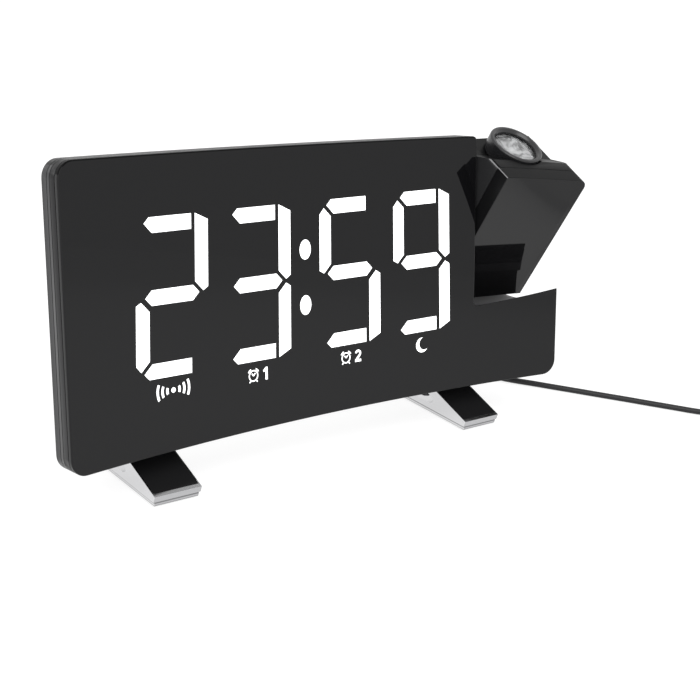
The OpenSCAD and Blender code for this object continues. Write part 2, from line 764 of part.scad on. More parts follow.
module battery_door() color("#2a2a2d") in_case() difference() {
    slab(box_y - door_t, box_y) box_rect([door[0] + door_fit, door[1], door[2] - door_fit,
        door[3] - door_fit]);
    for (i = [0:3]) slab(box_y - 0.5, box_y + 1)
        box_rect([door[0] + 7, door[1] + 4 + 2 * i, door[2] - 7, door[1] + 5 + 2 * i]);
}

// ---------- keys ----------

module rear_key(x, z) color("#3b3b3f") in_case() {
    slab(key_back_y + key_flange - EPS, box_y + key_proud) key_outline(x, z);
    slab(key_back_y, key_back_y + key_flange) box_rect([x - key_w / 2, z - key_h / 2,
        x + key_w / 2, z + key_h / 2], 1);
}

module key_mode() rear_key(key_x[0], key_z[1]);
module key_set() rear_key(key_x[1], key_z[1]);
module key_alarm() rear_key(key_x[2], key_z[1]);
module key_up() rear_key(key_x[0], key_z[0]);
module key_down() rear_key(key_x[1], key_z[0]);
module key_projector() rear_key(key_x[2], key_z[0]);

module snooze_bar() color("#3b3b3f") in_case() {
    low = box_top - wall - 0.2;
    column(low - EPS, box_top + snooze_proud) round_rect(snooze_x - snooze_len / 2,
        snooze_y - snooze_w / 2, snooze_x + snooze_len / 2, snooze_y + snooze_w / 2, 2);
    column(low - 1.4, low) box_rect([snooze_x - snooze_len / 2, snooze_y - snooze_w / 2,
        snooze_x + snooze_len / 2, snooze_y + snooze_w / 2], 0.8);
    rod_z(snooze_switch_x, snooze_switch_y + 0.4, stem_r,
        snooze_switch_z + actuator_t + snooze_travel + 3 * SLACK, low - 1.4 + EPS);
}

// ---------- hinge of the arm ----------

module hinge_bush() color("#e8e4d8") in_case() difference() {
    union() {
        rod_x(pivot_y, pivot_z, bush_r, stack_x, cut_x);
        rod_x(pivot_y, pivot_z, hinge_r, stack_x, cut_x - wall);
    }
    rod_x(pivot_y, pivot_z, axle_r + running, stack_x - 1, cut_x + 1);
}

module hinge_ring(r0, r1, x0, x1) difference() {
    rod_x(pivot_y, pivot_z, r1, x0, x1);
    rod_x(pivot_y, pivot_z, r0, x0 - 1, x1 + 1);
}

module hinge_washer() color("#e8e4d8") in_case()
    hinge_ring(axle_r + running, hinge_r, cut_x + 0.05, arm_left - 0.05);

module friction_spring() color("#b8b8bc") in_case()
    hinge_ring(axle_r + running, hinge_r - 0.5, stack_x - spring_t, stack_x);

module hinge_retainer() color("#8c8c90") in_arm()
    hinge_ring(axle_r - 0.6, hinge_r - 1, stack_x - spring_t - 0.1 - retainer_t,
        stack_x - spring_t - 0.1);

module arm_axle() color("#77777b") in_arm() difference() {
    groove_x = stack_x - spring_t - 0.1;
    union() {
        rod_x(pivot_y, pivot_z, axle_r, groove_x, arm_left + 3.8);
        rod_x(pivot_y, pivot_z, axle_r - 0.6 - EPS, groove_x - retainer_t, groove_x + EPS);
        rod_x(pivot_y, pivot_z, axle_r, groove_x - retainer_t - 1.2, groove_x - retainer_t);
        rod_x(pivot_y, pivot_z, axle_r + 2.5, arm_left + 3.8 - EPS, arm_left + 5.2);
    }
    rod_x(pivot_y, pivot_z, axle_bore_r, 0, case_w);
}

// ---------- projector arm ----------

// The arm's form, or its hollow when drawn in
module arm_form(inset) difference() {
    intersection() {
        slab(-1, arm_rear - inset) intersection() {
            round_rect(arm_left + inset, 0, arm_right + FAR, case_h - inset, arm_corner_in);
            round_rect(arm_left - FAR, 0, arm_right - inset, case_h - inset, arm_corner);
        }
        curve_band(inset, FAR);
        beam(cut_x, case_w) translate([pivot_y, pivot_z]) {
            circle(arm_r - inset, $fn = 180);
            translate([-FAR, 0]) square([2 * FAR, FAR]);
        }
    }
    translate([0, face_y, 0]) rotate_extrude($fn = SMOOTH)
        polygon([[face_r + ledge_t, case_h - inset], [face_r + slope_t, platform_z - inset],
            [face_r + FAR, platform_z - inset], [face_r + FAR, case_h + 5],
            [face_r + ledge_t, case_h + 5]]);
}

module arm_hollow() difference() {
    arm_form(arm_wall);
    rod_z(optic_x, optic_y, ring_r + ring_fit + arm_wall, platform_z - arm_wall, FAR + case_h);
}

module arm_front_shell() color("#2e2e31") in_arm() {
    difference() {
        union() {
            difference() {
                arm_form(0);
                curve_band(arm_front_t, FAR);
                arm_hollow();
            }
            for (s = arm_screw_at) intersection() {
                rod_y(s.x, s.y, arm_post_r - 0.2, 0, arm_post_y - 0.1);
                curve_band(arm_wall - 0.2, FAR);
            }
        }
        for (s = arm_screw_at) rod_y(s.x, s.y, screw_r - 0.3, arm_post_y - 6, FAR);
        rod_z(optic_x, optic_y, ring_r + ring_fit, platform_z, case_h + 1);
    }
}

module arm_rear_shell() color("#4b4b4f") in_arm() difference() {
    union() {
        difference() {
            arm_form(0);
            curve_band(-1, arm_front_t + arm_seam);
            arm_hollow();
        }
        rod_x(pivot_y, pivot_z, axle_r + 2.5, arm_left + arm_wall - EPS, arm_left + 3.7);
        for (s = arm_screw_at) rod_y(s.x, s.y, arm_post_r, arm_post_y, arm_rear - EPS);
    }
    rod_x(pivot_y, pivot_z, axle_r + EPS, arm_left - 1, arm_left + 5);
    rod_z(optic_x, optic_y, ring_r + ring_fit, platform_z, case_h + 1);
    rod_z(optic_x, optic_y, barrel_r + EPS, platform_z - arm_wall - 1, platform_z + 1);
    for (s = arm_screw_at) {
        rod_y(s.x, s.y, screw_r, arm_post_y - 1, arm_rear);
        rod_y(s.x, s.y, arm_post_r - 0.6, arm_rear - 4, arm_rear + 1);
    }
}

module arm_screws() color("#9a9a9e") in_arm() for (s = arm_screw_at) {
    rod_y(s.x, s.y, screw_r - 0.3, arm_post_y - 5, arm_rear - 4 + EPS);
    rod_y(s.x, s.y, arm_post_r - 0.8, arm_rear - 4, arm_rear - 2.6);
}

module lens_barrel() color("#1f1f22") in_arm() difference() {
    union() {
        rod_z(optic_x, optic_y, barrel_r, barrel_low_z, barrel_top_z);
        intersection() {
            rod_z(optic_x, optic_y, ring_r + 1, platform_z - arm_wall - flange_t,
                platform_z - arm_wall);
            translate([optic_x - FAR / 2, optic_y - barrel_r, 0]) cube([FAR, 2 * barrel_r, case_h]);
        }
    }
    rod_z(optic_x, optic_y, barrel_in_r, barrel_low_z - 1, barrel_top_z + 1);
}

module focus_ring() color("#3c3c40") in_arm() translate([optic_x, optic_y, ring_top])
    rotate_extrude($fn = 96) {
        lip = barrel_top_z + 0.2 - ring_top;
        foot = platform_z + 0.3 - ring_top;
        polygon(concat([[barrel_r + running, foot], [barrel_r + running, lip], [ring_hole_r, lip],
            [ring_hole_r, -ring_bevel], [ring_hole_r + ring_bevel, 0]],
            [for (a = [90:-22.5:0]) [ring_r - ring_edge + ring_edge * cos(a),
                -ring_edge + ring_edge * sin(a)]], [[ring_r, foot]]));
    }

module lens_cell() color("#131315") in_arm() difference() {
    rod_z(optic_x, optic_y, cell_out_r, lens_seat_z - 7, lens_seat_z);
    rod_z(optic_x, optic_y, cell_out_r - 0.8, lens_seat_z - 8, lens_seat_z + 1);
}

// A lens with a domed top: plug below the seat, dome above it
module dome(r, rise) {
    ball = (r * r + rise * rise) / (2 * rise);
    intersection() {
        translate([0, 0, rise - ball]) sphere(r = ball, $fn = 96);
        cylinder(r = r, h = rise + 1);
    }
}

module projection_lens() color("#dfe6ea") in_arm() {
    rod_z(optic_x, optic_y, cell_out_r - 0.8 - EPS, lens_seat_z - 3.5, lens_seat_z + EPS);
    rod_z(optic_x, optic_y, ring_hole_r - 0.1, lens_seat_z, lens_seat_z + lens_edge_t + EPS);
    translate([optic_x, optic_y, lens_seat_z + lens_edge_t]) dome(ring_hole_r - 0.1, lens_rise);
}

module led_board() color("#e6e6e6") in_arm() difference() {
    column(barrel_low_z - board_t, barrel_low_z) box_rect([optic_x - barrel_r, optic_y - barrel_r,
        optic_x + barrel_r, optic_y + barrel_r]);
    for (side = [-1, 1]) rod_z(optic_x + side * (barrel_r - 1.4), optic_y + barrel_r - 1.4, 0.8, 0, case_h);
}

module projector_led() color("#f3e27a") in_arm() {
    column(barrel_low_z, barrel_low_z + 0.8) box_rect([optic_x - 2.5, optic_y - 2.5,
        optic_x + 2.5, optic_y + 2.5]);
    translate([optic_x, optic_y, barrel_low_z + 0.8 - EPS]) dome(2, 1.6);
}

module condenser_lens() color("#dfe6ea") in_arm() {
    rod_z(optic_x, optic_y, barrel_in_r - EPS, barrel_low_z + 8, barrel_low_z + 10);
    translate([optic_x, optic_y, barrel_low_z + 10 - EPS]) dome(barrel_in_r - 0.6, 2.4);
}

module projector_lcd() color("#70757c") in_arm()
    rod_z(optic_x, optic_y, barrel_in_r - EPS, barrel_low_z + 17, barrel_low_z + 18.6);

// ---------- feet ----------

function leg_top(y) = lip_z + (y - lip_y) * tan(leg_rise);
function leg_under(y) = leg_top(y) - leg_t / cos(leg_rise);
function sole_under(y) = -tip_drop + (y - tip_y) * tan(sole_rise);
function sole_top(y) = sole_under(y) + sole_t / cos(sole_rise);

foot_end_y = tip_y + foot_len * cos(sole_rise);

// The rounded end of the notch lies where a circle fits between the two legs
notch_y = (lip_z + tip_drop - (leg_t + notch_r) / cos(leg_rise) - (sole_t + notch_r) / cos(sole_rise)
    - lip_y * tan(leg_rise) + tip_y * tan(sole_rise)) / (tan(sole_rise) - tan(leg_rise));
notch_z = sole_top(notch_y) + notch_r / cos(sole_rise);

// Side profile of the V: nose, upper leg to the case, lower leg along the table
module foot_profile() difference() {
    polygon([[tip_y, -tip_drop], [lip_y, lip_z], [leg_join_y, leg_top(leg_join_y)],
        [leg_join_y, box_bottom], [leg_end_y, box_bottom],
        [leg_end_y + 1.5, leg_under(leg_end_y + 1.5)], [foot_end_y - 0.6, sole_top(foot_end_y)],
        [foot_end_y, sole_under(foot_end_y)]]);
    polygon(concat([for (i = [0:8]) let (a = leg_rise + 90 + (180 - leg_rise + sole_rise) * i / 8)
        [notch_y + notch_r * cos(a), notch_z + notch_r * sin(a)]],
        [[foot_end_y + 9, sole_top(foot_end_y + 9)], [foot_end_y + 9, leg_under(foot_end_y + 9)]]));
}

module insert_profile(grow = 0) {
    start = lip_y + 1.2 - grow;
    end = leg_join_y - 0.3 + grow;
    polygon([[start, leg_top(start) + grow], [end, leg_top(end) + grow],
        [end, leg_top(end) - insert_t], [start, leg_top(start) - insert_t]]);
}

module pads(x, grow = 0) for (at = [9, foot_len - 7]) translate([x - pad_size.x / 2 - grow,
    case_y + at - pad_size.y / 2 - grow, grow > 0 ? -1 : 0])
    cube([pad_size.x + 2 * grow, pad_size.y + 2 * grow, pad_size.z + (grow > 0 ? 1 : 0)]);

module foot(x) color("#c4c6c9") difference() {
    in_case() difference() {
        union() {
            beam(x - foot_w / 2, x + foot_w / 2) difference() {
                foot_profile();
                polygon([[0, -FAR], [0, sole_under(0) + 1.4], [FAR, sole_under(FAR) + 1.4], [FAR, -FAR]]);
            }
            beam(x - foot_w / 2 + 0.5, x + foot_w / 2 - 0.5) intersection() {
                foot_profile();
                polygon([[tip_y - 0.4, -FAR], [tip_y - 0.4, sole_under(tip_y) + 1.5],
                    [FAR, sole_under(FAR) + 1.5], [FAR, -FAR]]);
            }
        }
        beam(x - foot_w / 2 + 0.4, x + foot_w / 2 - 0.4) insert_profile(0.02);
        for (dx = [-foot_screw_dx, foot_screw_dx]) {
            rod_z(x + dx, foot_screw_y, screw_r + 0.2, -tip_drop, case_h);
            rod_z(x + dx, foot_screw_y, screw_head_r, -3, 1);
        }
    }
    pads(x, 0.02);
}

module foot_insert(x) color("#161618") in_case()
    beam(x - foot_w / 2 + 0.42, x + foot_w / 2 - 0.42) insert_profile();

module foot_left() foot(-foot_x);
module foot_right() foot(foot_x);
module foot_insert_left() foot_insert(-foot_x);
module foot_insert_right() foot_insert(foot_x);

module foot_pads() color("#202022") for (side = [-1, 1]) pads(side * foot_x);

module foot_screws() color("#9a9a9e") in_case() for (side = [-1, 1],
    dx = [-foot_screw_dx, foot_screw_dx]) {
    rod_z(side * foot_x + dx, foot_screw_y, screw_r - 0.05, 1 - EPS, power_z - 0.3);
    rod_z(side * foot_x + dx, foot_screw_y, screw_head_r - 0.2, -0.4, 1);
}

// ---------- cord ----------

module dc_plug() color("#202022") in_case() {
    difference() {
        rod_y(jack_x, jack_z, plug_barrel_r, box_y - plug_barrel_len, box_y + 0.2 + EPS);
        rod_y(jack_x, jack_z, plug_tip_r, box_y - plug_barrel_len - 1, box_y);
    }
    rod_y(jack_x, jack_z, 4.6, box_y + 0.2, box_y + 0.2 + plug_len);
    translate([jack_x, box_y + 0.2 + plug_len - EPS, jack_z]) rotate([-90, 0, 0])
        cylinder(r1 = 3.2, r2 = cord_d / 2 + 0.5, h = relief_len + EPS);
}

function unit(v) = v / norm(v);
function along(p, i) = unit(p[min(i + 1, len(p) - 1)] - p[max(i - 1, 0)]);
function side_of(t) = unit(cross(t, [0, 0, 1]));

// A round cord through the points p
module cord(p, d) {
    sides = 8;
    n = len(p);
    rings = [for (i = [0:n - 1]) let (t = along(p, i), s = side_of(t), u = cross(s, t))
        for (k = [0:sides - 1]) let (a = 360 * k / sides)
            p[i] + d / 2 * (cos(a) * s + sin(a) * u)];
    walls = [for (i = [0:n - 2], k = [0:sides - 1]) let (j = (k + 1) % sides, b = i * sides)
        [b + k, b + j, b + sides + j, b + sides + k]];
    start = [[for (k = [0:sides - 1]) sides - 1 - k]];
    end = [[for (k = [0:sides - 1]) (n - 1) * sides + k]];
    polyhedron(rings, concat(start, walls, end), convexity = 10);
}

module cord_run() color("#1c1c1e") {
    start = to_table([jack_x, plug_end_y, jack_z]);
    cord(concat([start], cord_points), cord_d);
}

module cord_coil() color("#1c1c1e") translate([coil_at.x, coil_at.y, 0]) rotate_extrude($fn = 96)
    translate([coil_r - coil_half, 0]) square(2 * coil_half);

module cord_tail() color("#1c1c1e") cord(tail_points, cord_d);

module usb_plug() color("#202022") translate(usb_plug_at) rotate([0, -90, 0]) {
    cylinder(r1 = cord_d / 2 + 0.6, r2 = usb_relief[1], h = usb_relief[0]);
    translate([0, 0, usb_relief[0] - EPS]) linear_extrude(usb_body.x)
        round_rect(-usb_body.z / 2, -usb_body.y / 2, usb_body.z / 2, usb_body.y / 2, 1.6);
}

module usb_plug_shell() color("#c9c9cc") translate(usb_plug_at) rotate([0, -90, 0])
    translate([0, 0, usb_relief[0] + usb_body.x - EPS]) difference() {
        linear_extrude(usb_shell.x) square([usb_shell.z, usb_shell.y], center = true);
        translate([0, 0, 1]) linear_extrude(usb_shell.x) square([usb_shell.z - 2 * usb_shell_wall,
            usb_shell.y - 2 * usb_shell_wall], center = true);
    }

front_lens();
segments_lit();
segments_unlit();
colon_dots();
display_block();
display_leds();
display_pcb();
front_shell();
rear_shell();
main_pcb();
board_header();
tact_switches();
power_pcb();
usb_socket();
dc_jack();
speaker();
coin_cell();
battery_clip();
battery_door();
hinge_bush();
hinge_washer();
friction_spring();
hinge_retainer();
snooze_bar();
key_mode();
key_set();
key_alarm();
key_up();
key_down();
key_projector();
rear_screws();
board_screws();
foot_left();
foot_right();
foot_insert_left();
foot_insert_right();
foot_pads();
foot_screws();
arm_front_shell();
arm_rear_shell();
arm_axle();
lens_barrel();
led_board();
projector_led();
condenser_lens();
projector_lcd();
arm_screws();
focus_ring();
lens_cell();
projection_lens();
dc_plug();
cord_run();
cord_coil();
cord_tail();
usb_plug();
usb_plug_shell();
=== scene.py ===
"""Projection alarm clock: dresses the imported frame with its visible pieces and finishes.

Lengths are in metres in the frame, and in millimetres where a value ends in _MM.
"Case space" is the case standing upright: X right, Y to the rear, Z up, with the front's
bottom corners at y = 0 and z = 0. "Arm space" is the same with the arm folded upright.
"""

import json
import math
from contextlib import contextmanager

import bmesh
import bpy
from bpy.props import FloatProperty, FloatVectorProperty, PointerProperty
from mathutils import Matrix, Vector


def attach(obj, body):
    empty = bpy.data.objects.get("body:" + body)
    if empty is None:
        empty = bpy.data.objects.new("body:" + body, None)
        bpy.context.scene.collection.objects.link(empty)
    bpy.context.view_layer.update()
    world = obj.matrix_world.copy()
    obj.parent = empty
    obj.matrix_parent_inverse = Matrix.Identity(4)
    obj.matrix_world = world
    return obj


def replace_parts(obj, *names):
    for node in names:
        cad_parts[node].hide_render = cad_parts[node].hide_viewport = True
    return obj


bl_info = {
    "name": "Projection Alarm Clock",
    "version": (1, 0, 0),
    "blender": (4, 5, 0),
    "location": "View3D > Sidebar > Clock",
    "description": "Dresses a projection alarm clock: display, shells, arm, feet and lead",
    "category": "Add Mesh",
}

MM = 0.001

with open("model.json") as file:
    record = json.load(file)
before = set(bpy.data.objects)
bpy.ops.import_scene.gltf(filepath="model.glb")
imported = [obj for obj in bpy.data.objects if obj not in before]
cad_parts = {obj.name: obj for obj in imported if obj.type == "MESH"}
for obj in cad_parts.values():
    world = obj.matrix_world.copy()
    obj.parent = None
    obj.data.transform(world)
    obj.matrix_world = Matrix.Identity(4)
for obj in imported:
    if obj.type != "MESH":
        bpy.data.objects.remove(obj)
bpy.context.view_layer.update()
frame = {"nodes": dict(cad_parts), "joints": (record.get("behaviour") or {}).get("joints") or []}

# ---------- places taken from the frame ----------

JOINTS = {joint["name"]: joint for joint in frame["joints"]}
PIVOT = Vector(JOINTS["arm_tilt"]["pos_m"])
PIVOT.x = 0
PIVOT_IN_CASE = Vector((0, 18.6, 57.1)) * MM
LEAN = math.radians(-10)
ARM_TILT = math.radians(35.3)


def turned_about_pivot(angle):
    """From case space to the frame, turned by this angle about the arm's pivot."""
    return (
        Matrix.Translation(PIVOT)
        @ Matrix.Rotation(angle, 4, "X")
        @ Matrix.Translation(-PIVOT_IN_CASE)
    )


CASE = turned_about_pivot(LEAN)
ARM = turned_about_pivot(LEAN + ARM_TILT)
AS_BUILT = Matrix.Identity(4)   # for meshes that are in the frame already

# ---------- driving dimensions, in case space ----------

WIDTH = 190 * MM
HEIGHT = 84.4 * MM
SAG = 8.8 * MM          # depth of the concave front
FACE_R = (WIDTH * WIDTH / 4 + SAG * SAG) / (2 * SAG)
CORNER_R = 5 * MM
CUT_X = 59.5 * MM       # where the cut-out for the arm starts
CUT_Z = 29 * MM         # mean height of the cradle, the cut-out's round edge
CUT_CORNER_R = 1.5 * MM
CRADLE_R = 32.3 * MM    # about the arm's pivot
LENS_T = 1.8 * MM
SHEET_SINK = 0.03 * MM  # how far the tinted front lies behind the digits' faces
RIM_PROUD = 0.06 * MM   # how far the visible layers stand proud of the shells they cover
TINY = 1e-6

CORD_MM = 2.2
COIL_AT_MM = (150.2, -77.25)
COIL_R_MM = 13
COIL_ROWS = 4
COIL_LAYERS = 4
COIL_ENTRY = 47.78      # degrees round the coil where the lead joins it
COIL_CLIMB = 0.979      # turns in which it climbs a layer
COIL_EASE = 1.2         # power that slows the start of the climb
COIL_STEPS = 24         # points to a turn
PLUG_END_MM = (74, 59.2, 17)
CORD_POINTS_MM = [
    (74, 42, 20.4), (74.2, 48, 18.4), (75, 54, 15.2), (77, 59.5, 11), (80.5, 64, 6.8),
    (85, 66.5, 3.4), (90.5, 66.5, 1.6), (95.5, 63.5, 1.1), (98.5, 58, 1.1), (99, 51.5, 1.1),
    (97.5, 45, 1.1), (95.5, 38.5, 1.1), (94, 32, 1.1), (93.5, 25.5, 1.1), (94, 19, 1.1),
    (96, 12.5, 1.1), (99, 6.5, 1.1), (103, 0.5, 1.1), (108, -5.3, 1.1), (113.3, -11.7, 1.1),
    (118.6, -18, 1.1), (124.3, -24.9, 1.1), (130.1, -31.8, 1.1), (135.8, -38.8, 1.1),
    (141.6, -45.8, 1.1), (147.4, -52.7, 1.1), (151.1, -56.06, 1.1), (155.1, -59.69, 1.1),
]
TAIL_POINTS_MM = [
    (155.78, -61.93, 7.7), (159.53, -63.3, 7.96), (163.29, -64.67, 8.64),
    (166.34, -66.53, 9.47), (168.42, -69.42, 10.4), (169.21, -72.9, 11.34),
    (168.59, -76.41, 12.12), (166.66, -79.41, 12.69), (163.71, -81.42, 12.9),
    (161.22, -82.11, 12.9), (160.22, -82.13, 12.9),
]


def face_y(x, depth=0.0):
    """Y of the layer at this depth behind the concave front, in case space."""
    r = FACE_R + depth
    return SAG - FACE_R + math.sqrt(r * r - x * x)


# ---------- settings that a user would change ----------


class ClockSizes(bpy.types.PropertyGroup):
    """Sizes of the finishing touches."""

    edge: FloatProperty(name="Edge radius", description="Rounding of moulded edges",
                        default=0.35 * MM, min=0, unit="LENGTH")
    polish: FloatProperty(name="Polished edge", description="Rounding of the lens's edge",
                          default=0.4 * MM, min=0, unit="LENGTH")
    slice: FloatProperty(name="Slice", description="Width of the strips that make the curve",
                         default=2 * MM, min=0.5 * MM, unit="LENGTH")


class ClockColours(bpy.types.PropertyGroup):
    """Colours of the main finishes."""

    lens: FloatVectorProperty(name="Lens", description="Tinted acrylic", subtype="COLOR",
                              default=(0.0035, 0.0035, 0.004))
    shell: FloatVectorProperty(name="Shell", description="Satin housing", subtype="COLOR",
                               default=(0.03, 0.03, 0.032))
    lit: FloatVectorProperty(name="Digits", description="Lit segments", subtype="COLOR",
                             default=(1.0, 1.0, 1.0))
    cord: FloatVectorProperty(name="Cord", description="Lead and its plugs", subtype="COLOR",
                              default=(0.012, 0.012, 0.013))


def sizes():
    return bpy.context.scene.clock_sizes


def colours():
    return bpy.context.scene.clock_colours


# ---------- modelling helpers ----------


def deselect():
    bpy.ops.object.select_all(action="DESELECT")


def activate(piece):
    deselect()
    piece.select_set(True)
    bpy.context.view_layer.objects.active = piece


@contextmanager
def editing(piece):
    """Edit mode on one piece, with everything in it deselected."""
    activate(piece)
    bpy.ops.object.mode_set(mode="EDIT")
    bpy.ops.mesh.select_mode(type="VERT")
    bpy.ops.mesh.select_all(action="DESELECT")
    yield
    bpy.ops.object.mode_set(mode="OBJECT")


def choose(piece, kind, test):
    """Selects the vertices, edges or faces that pass the test, in edit mode."""
    mesh = bmesh.from_edit_mesh(piece.data)
    for part in mesh.verts, mesh.edges, mesh.faces:
        for item in part:
            item.select_set(False)
    for item in getattr(mesh, kind):
        if test(item):
            item.select_set(True)
    mesh.select_flush_mode()
    bmesh.update_edit_mesh(piece.data)


def new_piece(name):
    """The object that the last primitive made, under its real name."""
    piece = bpy.context.object
    piece.name = name
    piece.data.name = name
    return piece


def modify(piece, kind, **values):
    """Adds a modifier, sets it and applies it."""
    activate(piece)
    modifier = piece.modifiers.new(kind.lower(), kind)
    for key, value in values.items():
        setattr(modifier, key, value)
    bpy.ops.object.modifier_apply(modifier=modifier.name)


def smooth(piece, degrees=32):
    """Smooth shading below this angle, led by the large faces."""
    activate(piece)
    bpy.ops.object.shade_smooth_by_angle(angle=math.radians(degrees))
    modify(piece, "WEIGHTED_NORMAL", keep_sharp=True, weight=80)


def soften(piece, width, segments=3, degrees=32):
    """Rounds the edges that turn by more than this angle."""
    modify(piece, "BEVEL", width=width, segments=segments, limit_method="ANGLE",
           angle_limit=math.radians(degrees))


def cut(at, normal):
    """Cuts the whole mesh along a plane, in edit mode."""
    bpy.ops.mesh.select_all(action="SELECT")
    bpy.ops.mesh.bisect(plane_co=at, plane_no=normal)


def face_outward(piece):
    """Turns all the faces of a solid piece outward."""
    with editing(piece):
        bpy.ops.mesh.select_all(action="SELECT")
        bpy.ops.mesh.normals_make_consistent(inside=False)


def place(piece, space, body, material, more=()):
    """Moves the mesh from its own space into the frame and lets it ride on its body.

    Each face keeps its material's number, where `more` holds those after the first.
    """
    activate(piece)
    bpy.ops.object.transform_apply(location=True, rotation=True, scale=True)
    piece.data.transform(space)
    piece.data.update()
    kept = [face.material_index for face in piece.data.polygons]
    piece.data.materials.clear()
    for finish in material, *more:
        piece.data.materials.append(finish)
    for face, index in zip(piece.data.polygons, kept):
        face.material_index = min(index, len(more))
    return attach(piece, body)


WELD_GAP = 0.004 * MM
WELD_ANGLE = math.radians(0.4)  # faces that turn by less than this become one


def weld(node, name):
    """A welded copy of a CAD node's mesh."""
    piece = bpy.data.objects.new(name, frame["nodes"][node].data.copy())
    bpy.context.scene.collection.objects.link(piece)
    with editing(piece):
        bpy.ops.mesh.select_all(action="SELECT")
        bpy.ops.mesh.remove_doubles(threshold=WELD_GAP)
        bpy.ops.mesh.customdata_custom_splitnormals_clear()
        bpy.ops.mesh.dissolve_limited(angle_limit=WELD_ANGLE)
    return piece


def dress(node, name, body, material, width=None):
    """A welded copy of a CAD node with softened edges, which stands for it."""
    piece = weld(node, name)
    width = sizes().edge if width is None else width
    if width:
        soften(piece, width)
    smooth(piece)
    place(piece, AS_BUILT, body, material)
    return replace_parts(piece, node)


def paint(piece, material, test):
    """Gives the faces that pass the test another material."""
    piece.data.materials.append(material)
    last = len(piece.data.materials) - 1
    for face in piece.data.polygons:
        if test(face):
            face.material_index = last


FACING = 0.7                    # least cosine of a face that is turned along an axis
TOP_EDGE = HEIGHT - 10 * MM     # the case's top edge lies above this height, leaning or upright


def on_top(least):
    """A test for faces of the case's top edge whose normal rises at least this much."""
    return lambda face: face.normal.z > least and face.center.z > TOP_EDGE


# ---------- materials ----------

WHITE = (1, 1, 1, 1)
COOL_WHITE = (0.96, 0.98, 1.0, 1.0)
MIX_FACTOR, MIX_A, MIX_B, MIX_RESULT = 0, 6, 7, 2       # sockets of a mix of colours
SATIN_SPREAD = 0.05     # how much a satin surface's roughness varies each way


def add(tree, kind, **values):
    """A node in the tree, with properties and input values set by name."""
    made = tree.nodes.new(kind)
    for key, value in values.items():
        if hasattr(made, key) and key not in made.inputs:
            setattr(made, key, value)
        else:
            made.inputs[key.replace("_", " ")].default_value = value
    return made


def noise(tree, vector, **values):
    """The factor of a noise texture that reads this vector."""
    made = add(tree, "ShaderNodeTexNoise", **values)
    tree.links.new(vector, made.inputs["Vector"])
    return made.outputs["Fac"]


def ranged(tree, value, **limits):
    """A value brought from one range into another."""
    made = add(tree, "ShaderNodeMapRange", **limits)
    tree.links.new(value, made.inputs["Value"])
    return made.outputs["Result"]


def multiply(tree, by):
    """A node that multiplies its first colour by this socket's."""
    made = add(tree, "ShaderNodeMix", data_type="RGBA", blend_type="MULTIPLY")
    made.inputs[MIX_FACTOR].default_value = 1.0
    tree.links.new(by, made.inputs[MIX_B])
    return made


def dent(tree, shader, height, strength, distance):
    """Bumps in the shader's surface that follow this height."""
    made = add(tree, "ShaderNodeBump", Strength=strength, Distance=distance)
    tree.links.new(height, made.inputs["Height"])
    tree.links.new(made.outputs["Normal"], shader.inputs["Normal"])


def node_group(name, inputs, outputs):
    """An empty shader node group, with its sockets given by name and kind."""
    group = bpy.data.node_groups.new(name, "ShaderNodeTree")
    for way, sockets in ("INPUT", inputs), ("OUTPUT", outputs):
        for socket, kind in sockets.items():
            group.interface.new_socket(name=socket, in_out=way, socket_type="NodeSocket" + kind)
    ins = group.nodes.new("NodeGroupInput").outputs
    outs = group.nodes.new("NodeGroupOutput").inputs
    return group, ins, outs


def grain_group(name):
    """Fine moulded grain: a height, and a mask that varies the sheen a little."""
    group, ins, outs = node_group(
        name, {"Vector": "Vector"}, {"Height": "Float", "Mask": "Float"})
    fine = noise(group, ins["Vector"], Scale=2600.0, Detail=2.0, Roughness=0.55)
    broad = noise(group, ins["Vector"], Scale=35.0, Detail=3.0, Roughness=0.5)
    group.links.new(fine, outs["Height"])
    group.links.new(broad, outs["Mask"])
    return group


def polish_group(name):
    """Handling of a polished face: faint smears and fine wipe marks."""
    group, ins, outs = node_group(
        name, {"Vector": "Vector", "Amount": "Float", "Base": "Float"},
        {"Roughness": "Float", "Height": "Float"})
    link = group.links.new
    smear = noise(group, ins["Vector"], Scale=24.0, Detail=4.0, Roughness=0.6, Distortion=1.2)
    stretch = add(group, "ShaderNodeMapping", Scale=(1.0, 1.0, 14.0), Rotation=(0.0, 0.5, 0.2))
    link(ins["Vector"], stretch.inputs["Vector"])
    wipe = noise(group, stretch.outputs["Vector"], Scale=420.0, Detail=2.0)
    amount = add(group, "ShaderNodeMath", operation="MULTIPLY_ADD")
    link(ranged(group, smear, From_Min=0.42, From_Max=0.78), amount.inputs[0])
    link(ins["Amount"], amount.inputs[1])
    link(ins["Base"], amount.inputs[2])
    link(amount.outputs["Value"], outs["Roughness"])
    link(wipe, outs["Height"])
    return group


# Painted shadow lines on the plated feet: darker bands of colour at these heights, where shadow
# falls under the plinth's step and at the table
FOOT_SHADOW_LINES = (
    # height above the table in mm, brightness; the dark bands are painted shadow lines
    (0.0, 0.72), (0.25, 0.72), (0.4, 1.0), (1.15, 1.0), (1.35, 0.5), (1.6, 0.5), (1.8, 1.0),
)
FOOT_SHADOW_LINES_TOP = 4      # height in mm that the ramp of lines reaches


